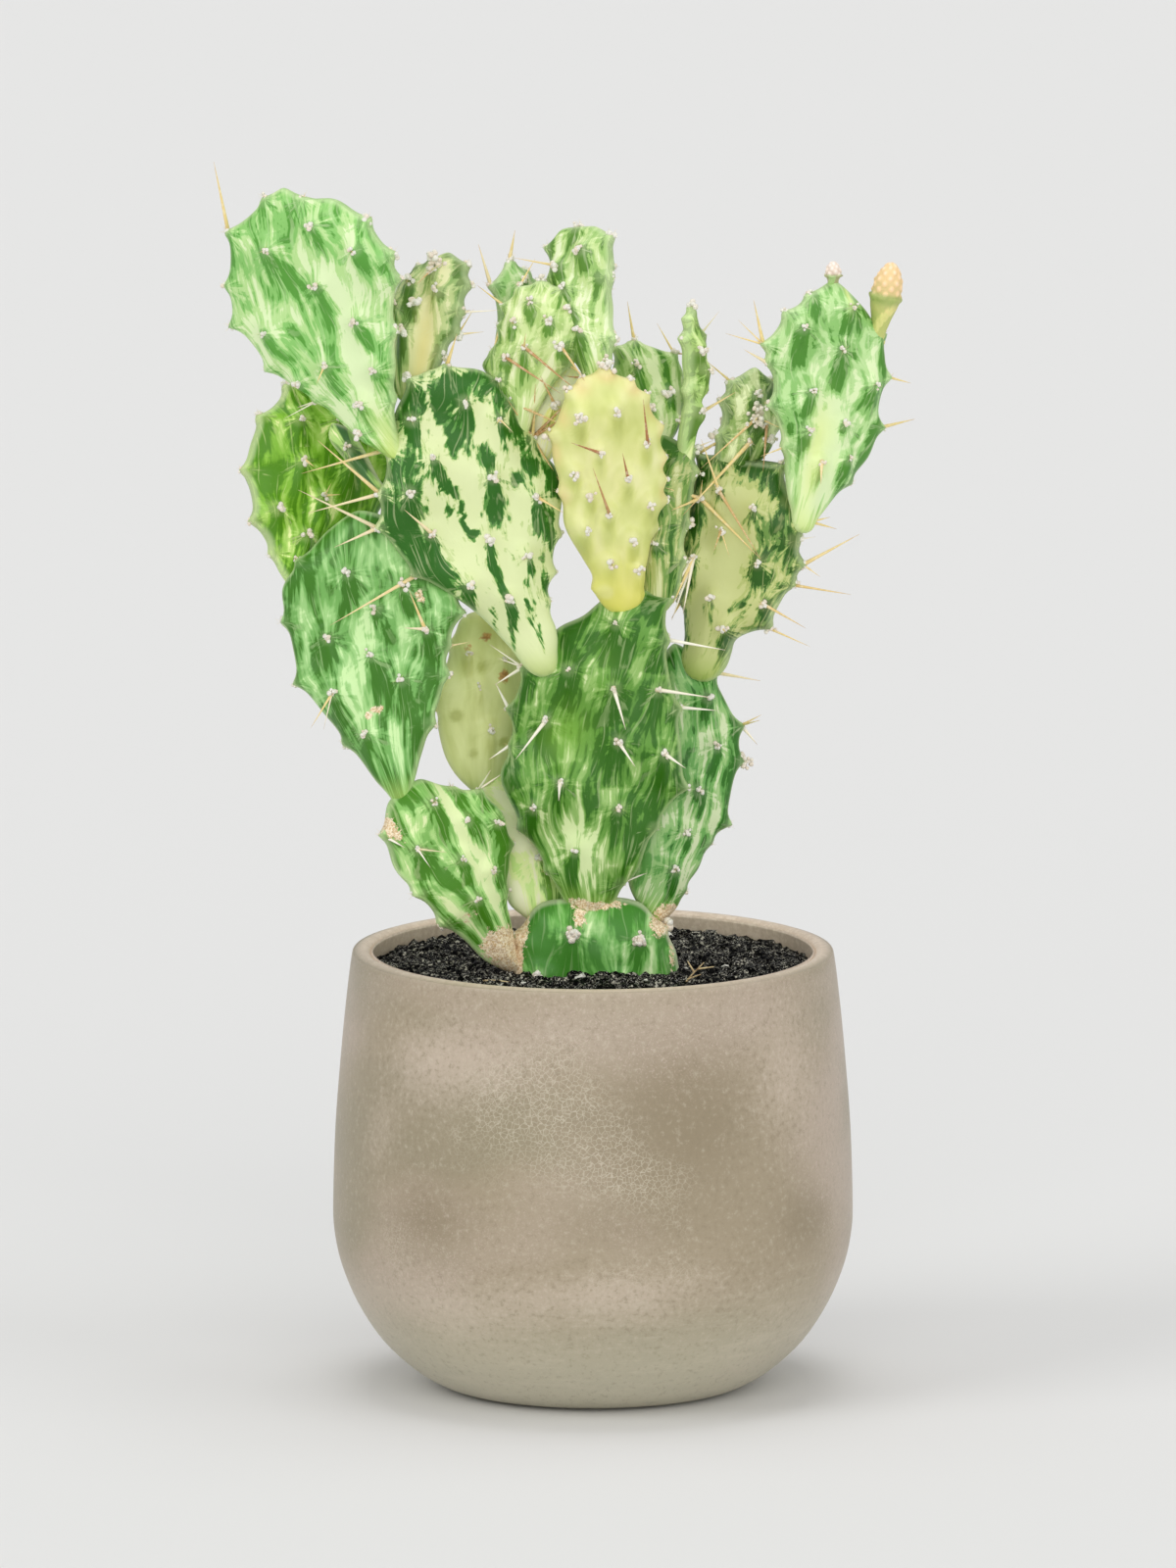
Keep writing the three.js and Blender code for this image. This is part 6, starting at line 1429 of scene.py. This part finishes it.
def crumbMaterial():
    def build(b):
        tone = b.attribute("tone")
        grains = b.cloud(b.place(), 2400.0, 3.0, 0.7)
        paintedGlint = b.cloud(b.place(), 900.0, 2.0, 0.6)
        # painted glints: pale spots in the colour stand in for the shine on some crumbs
        paintedGlints = b.step(paintedGlint, 0.55, 0.64) * (0.3 + 0.7 * b.step(tone, 0.45, 0.8))
        body = b.mix(b.step(tone, 0.4, 1.0), tint(soil["crumbDark"]), tint(soil["crumbBrown"]))
        body = b.mix(paintedGlints, body, tint(soil["paintedGlint"]))
        # pale grit specks, which also serve as painted highlights on the crumbs
        body = b.mix(b.step(grains, 0.6, 0.63) * b.step(tone, 0.2, 0.5) * 0.8, body, tint(soil["white"]))
        body = b.mix(b.step(tone, 0.993, 0.994), body, tint(soil["white"]))  # a few white ones
        return {"Base Color": body, "Roughness": 0.55 - 0.3 * b.step(grains, 0.4, 0.65),
                "Normal": b.bump(grains, 0.6, 0.0006), "Specular IOR Level": 0.03}
    return newMaterial("soil_crumb", build)


peat, crumb = soilMaterial(), crumbMaterial()
soilBed = makeSoil()
crumbPiece = scatterCrumbs(soilBed)
print("stage: the soil is filled in with", len(crumbPiece.data.polygons), "crumb faces")

# What lies on the soil: dry straws and a sprig, each a run of points in millimetres, and their girth
litter = dict(
    straws=[[(-38, -30, 130.8), (-30, -34, 132), (-22, -35, 131)], [(-30, -44, 130.6), (-21, -43, 131.6)],
            [(-44, -22, 130.6), (-36, -24, 131.4), (-31, -21, 130.8)]],
    sprig=[[(27, -38, 130), (30, -37, 134), (34, -36, 138)], [(29, -37.4, 133), (33, -40, 135)],
           [(31, -36.8, 135), (29, -34, 138)], [(32, -36.5, 136), (37, -38, 137)]],
    girth=0.35, taper=0.6, sides=6)


def makeLitter():
    points, faces = [], []
    sides = litter["sides"]
    for run in litter["straws"] + litter["sprig"]:
        line = smoothLine(run, 5)
        start, last = len(points), len(line) - 1
        for i, place in enumerate(line):
            way = unit(line[min(i + 1, last)] - line[max(i - 1, 0)])
            one = unit(np.cross(way, (0.2, 0.3, 0.93)))
            other = np.cross(way, one)
            r = litter["girth"] * (1 - litter["taper"] * i / last)
            points += [place + r * (one * math.cos(a) + other * math.sin(a))
                       for a in np.arange(sides) * 2 * math.pi / sides]
        for a in range(start, start + sides * last, sides):
            for k in range(sides):
                n = (k + 1) % sides
                faces.append((a + k, a + n, a + sides + n, a + sides + k))
        faces.append(tuple(range(start + sides - 1, start - 1, -1)))
        faces.append(tuple(range(start + sides * last, start + sides * last + sides)))

    def build(b):
        fibre = b.cloud(b.place(), 700.0, 3.0, 0.6)
        body = b.mix(b.step(fibre, 0.35, 0.65), tint((150, 122, 86)), tint((226, 206, 158)))
        return {"Base Color": body, "Roughness": 0.6 + 0.2 * fibre, "Normal": b.bump(fibre, 0.4, 0.0004)}
    return meshObject("dry_litter", np.array(points) * mm, faces, newMaterial("dry_straw", build))


litterPiece = makeLitter()
print("stage: the litter lies on the soil")

# The imported nodes that these pieces stand for are hidden, and every piece rides with the root
for name, piece in {**skins, **budSkins}.items():
    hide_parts(name)
    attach(piece, "root")
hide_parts("pot")
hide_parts("soil")
for piece in (potPiece, soilBed, crumbPiece, litterPiece, woolPiece, spinePiece, bristlePiece):
    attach(piece, "root")
print("stage: every piece rides with the pot")

# The studio: a pale floor, soft light from both sides, the front and above, and a long lens. A light is
# where it shines from, its strength and how many degrees wide it is
studio = dict(
    floor=(226, 226, 225), floorDust=(224, 224, 222), floorHalf=8, world=(1.0, 1.0, 1.0), worldStrength=0.5,
    suns={"left_light": ((-1.0, -0.6, 0.8), 0.7, 30), "right_light": ((1.0, -0.5, 0.6), 0.5, 45),
          "front_light": ((0.1, -1.0, 0.4), 0.95, 50), "top_light": ((0.0, 0.12, 1.0), 0.75, 30)})


def floorMaterial():
    def build(b):
        dust = b.cloud(b.place(), 3.0)
        body = b.mix(dust * 0.08, tint(studio["floor"]), tint(studio["floorDust"]))
        return {"Base Color": body, "Roughness": 0.85}
    return newMaterial("floor_paper", build)


half = studio["floorHalf"]
corners = [(-half, -half, 0), (half, -half, 0), (half, half, 0), (-half, half, 0)]
floor = meshObject("floor", corners, [(0, 1, 2, 3)], floorMaterial(), smooth=False)
for name, (place, strength, spread) in studio["suns"].items():
    light = bpy.data.lights.new(name, "SUN")
    light.energy = strength
    light.angle = math.radians(spread)
    lamp = bpy.data.objects.new(name, light)
    lamp.location = place
    lamp.rotation_euler = Vector(place).to_track_quat("Z", "Y").to_euler()
    bpy.context.scene.collection.objects.link(lamp)
world = bpy.data.worlds.new("pale_room")
bpy.context.scene.world = world
world.use_nodes = True
sky = world.node_tree.nodes["Background"].inputs
sky["Color"].default_value = (*studio["world"], 1)
sky["Strength"].default_value = studio["worldStrength"]
bpy.context.scene.view_settings.view_transform = "Standard"

# The target is in millimetres, the distance in metres, the elevation in degrees
camera = dict(target=(-1.52, 0, 187.2), distance=6.0, elevation=9.7, lens=448.2)
eye = bpy.data.cameras.new("camera")
eye.sensor_width = 36
eye.lens = camera["lens"]
eye.clip_start, eye.clip_end = 0.1, 100
view = bpy.data.objects.new("camera", eye)
tilt = math.radians(camera["elevation"])
back = Vector((0, -math.cos(tilt), math.sin(tilt)))
view.location = Vector([part * mm for part in camera["target"]]) + back * camera["distance"]
view.rotation_euler = (-back).to_track_quat("-Z", "Y").to_euler()
bpy.context.scene.collection.objects.link(view)
bpy.context.scene.camera = view
print("stage: the studio is lit")
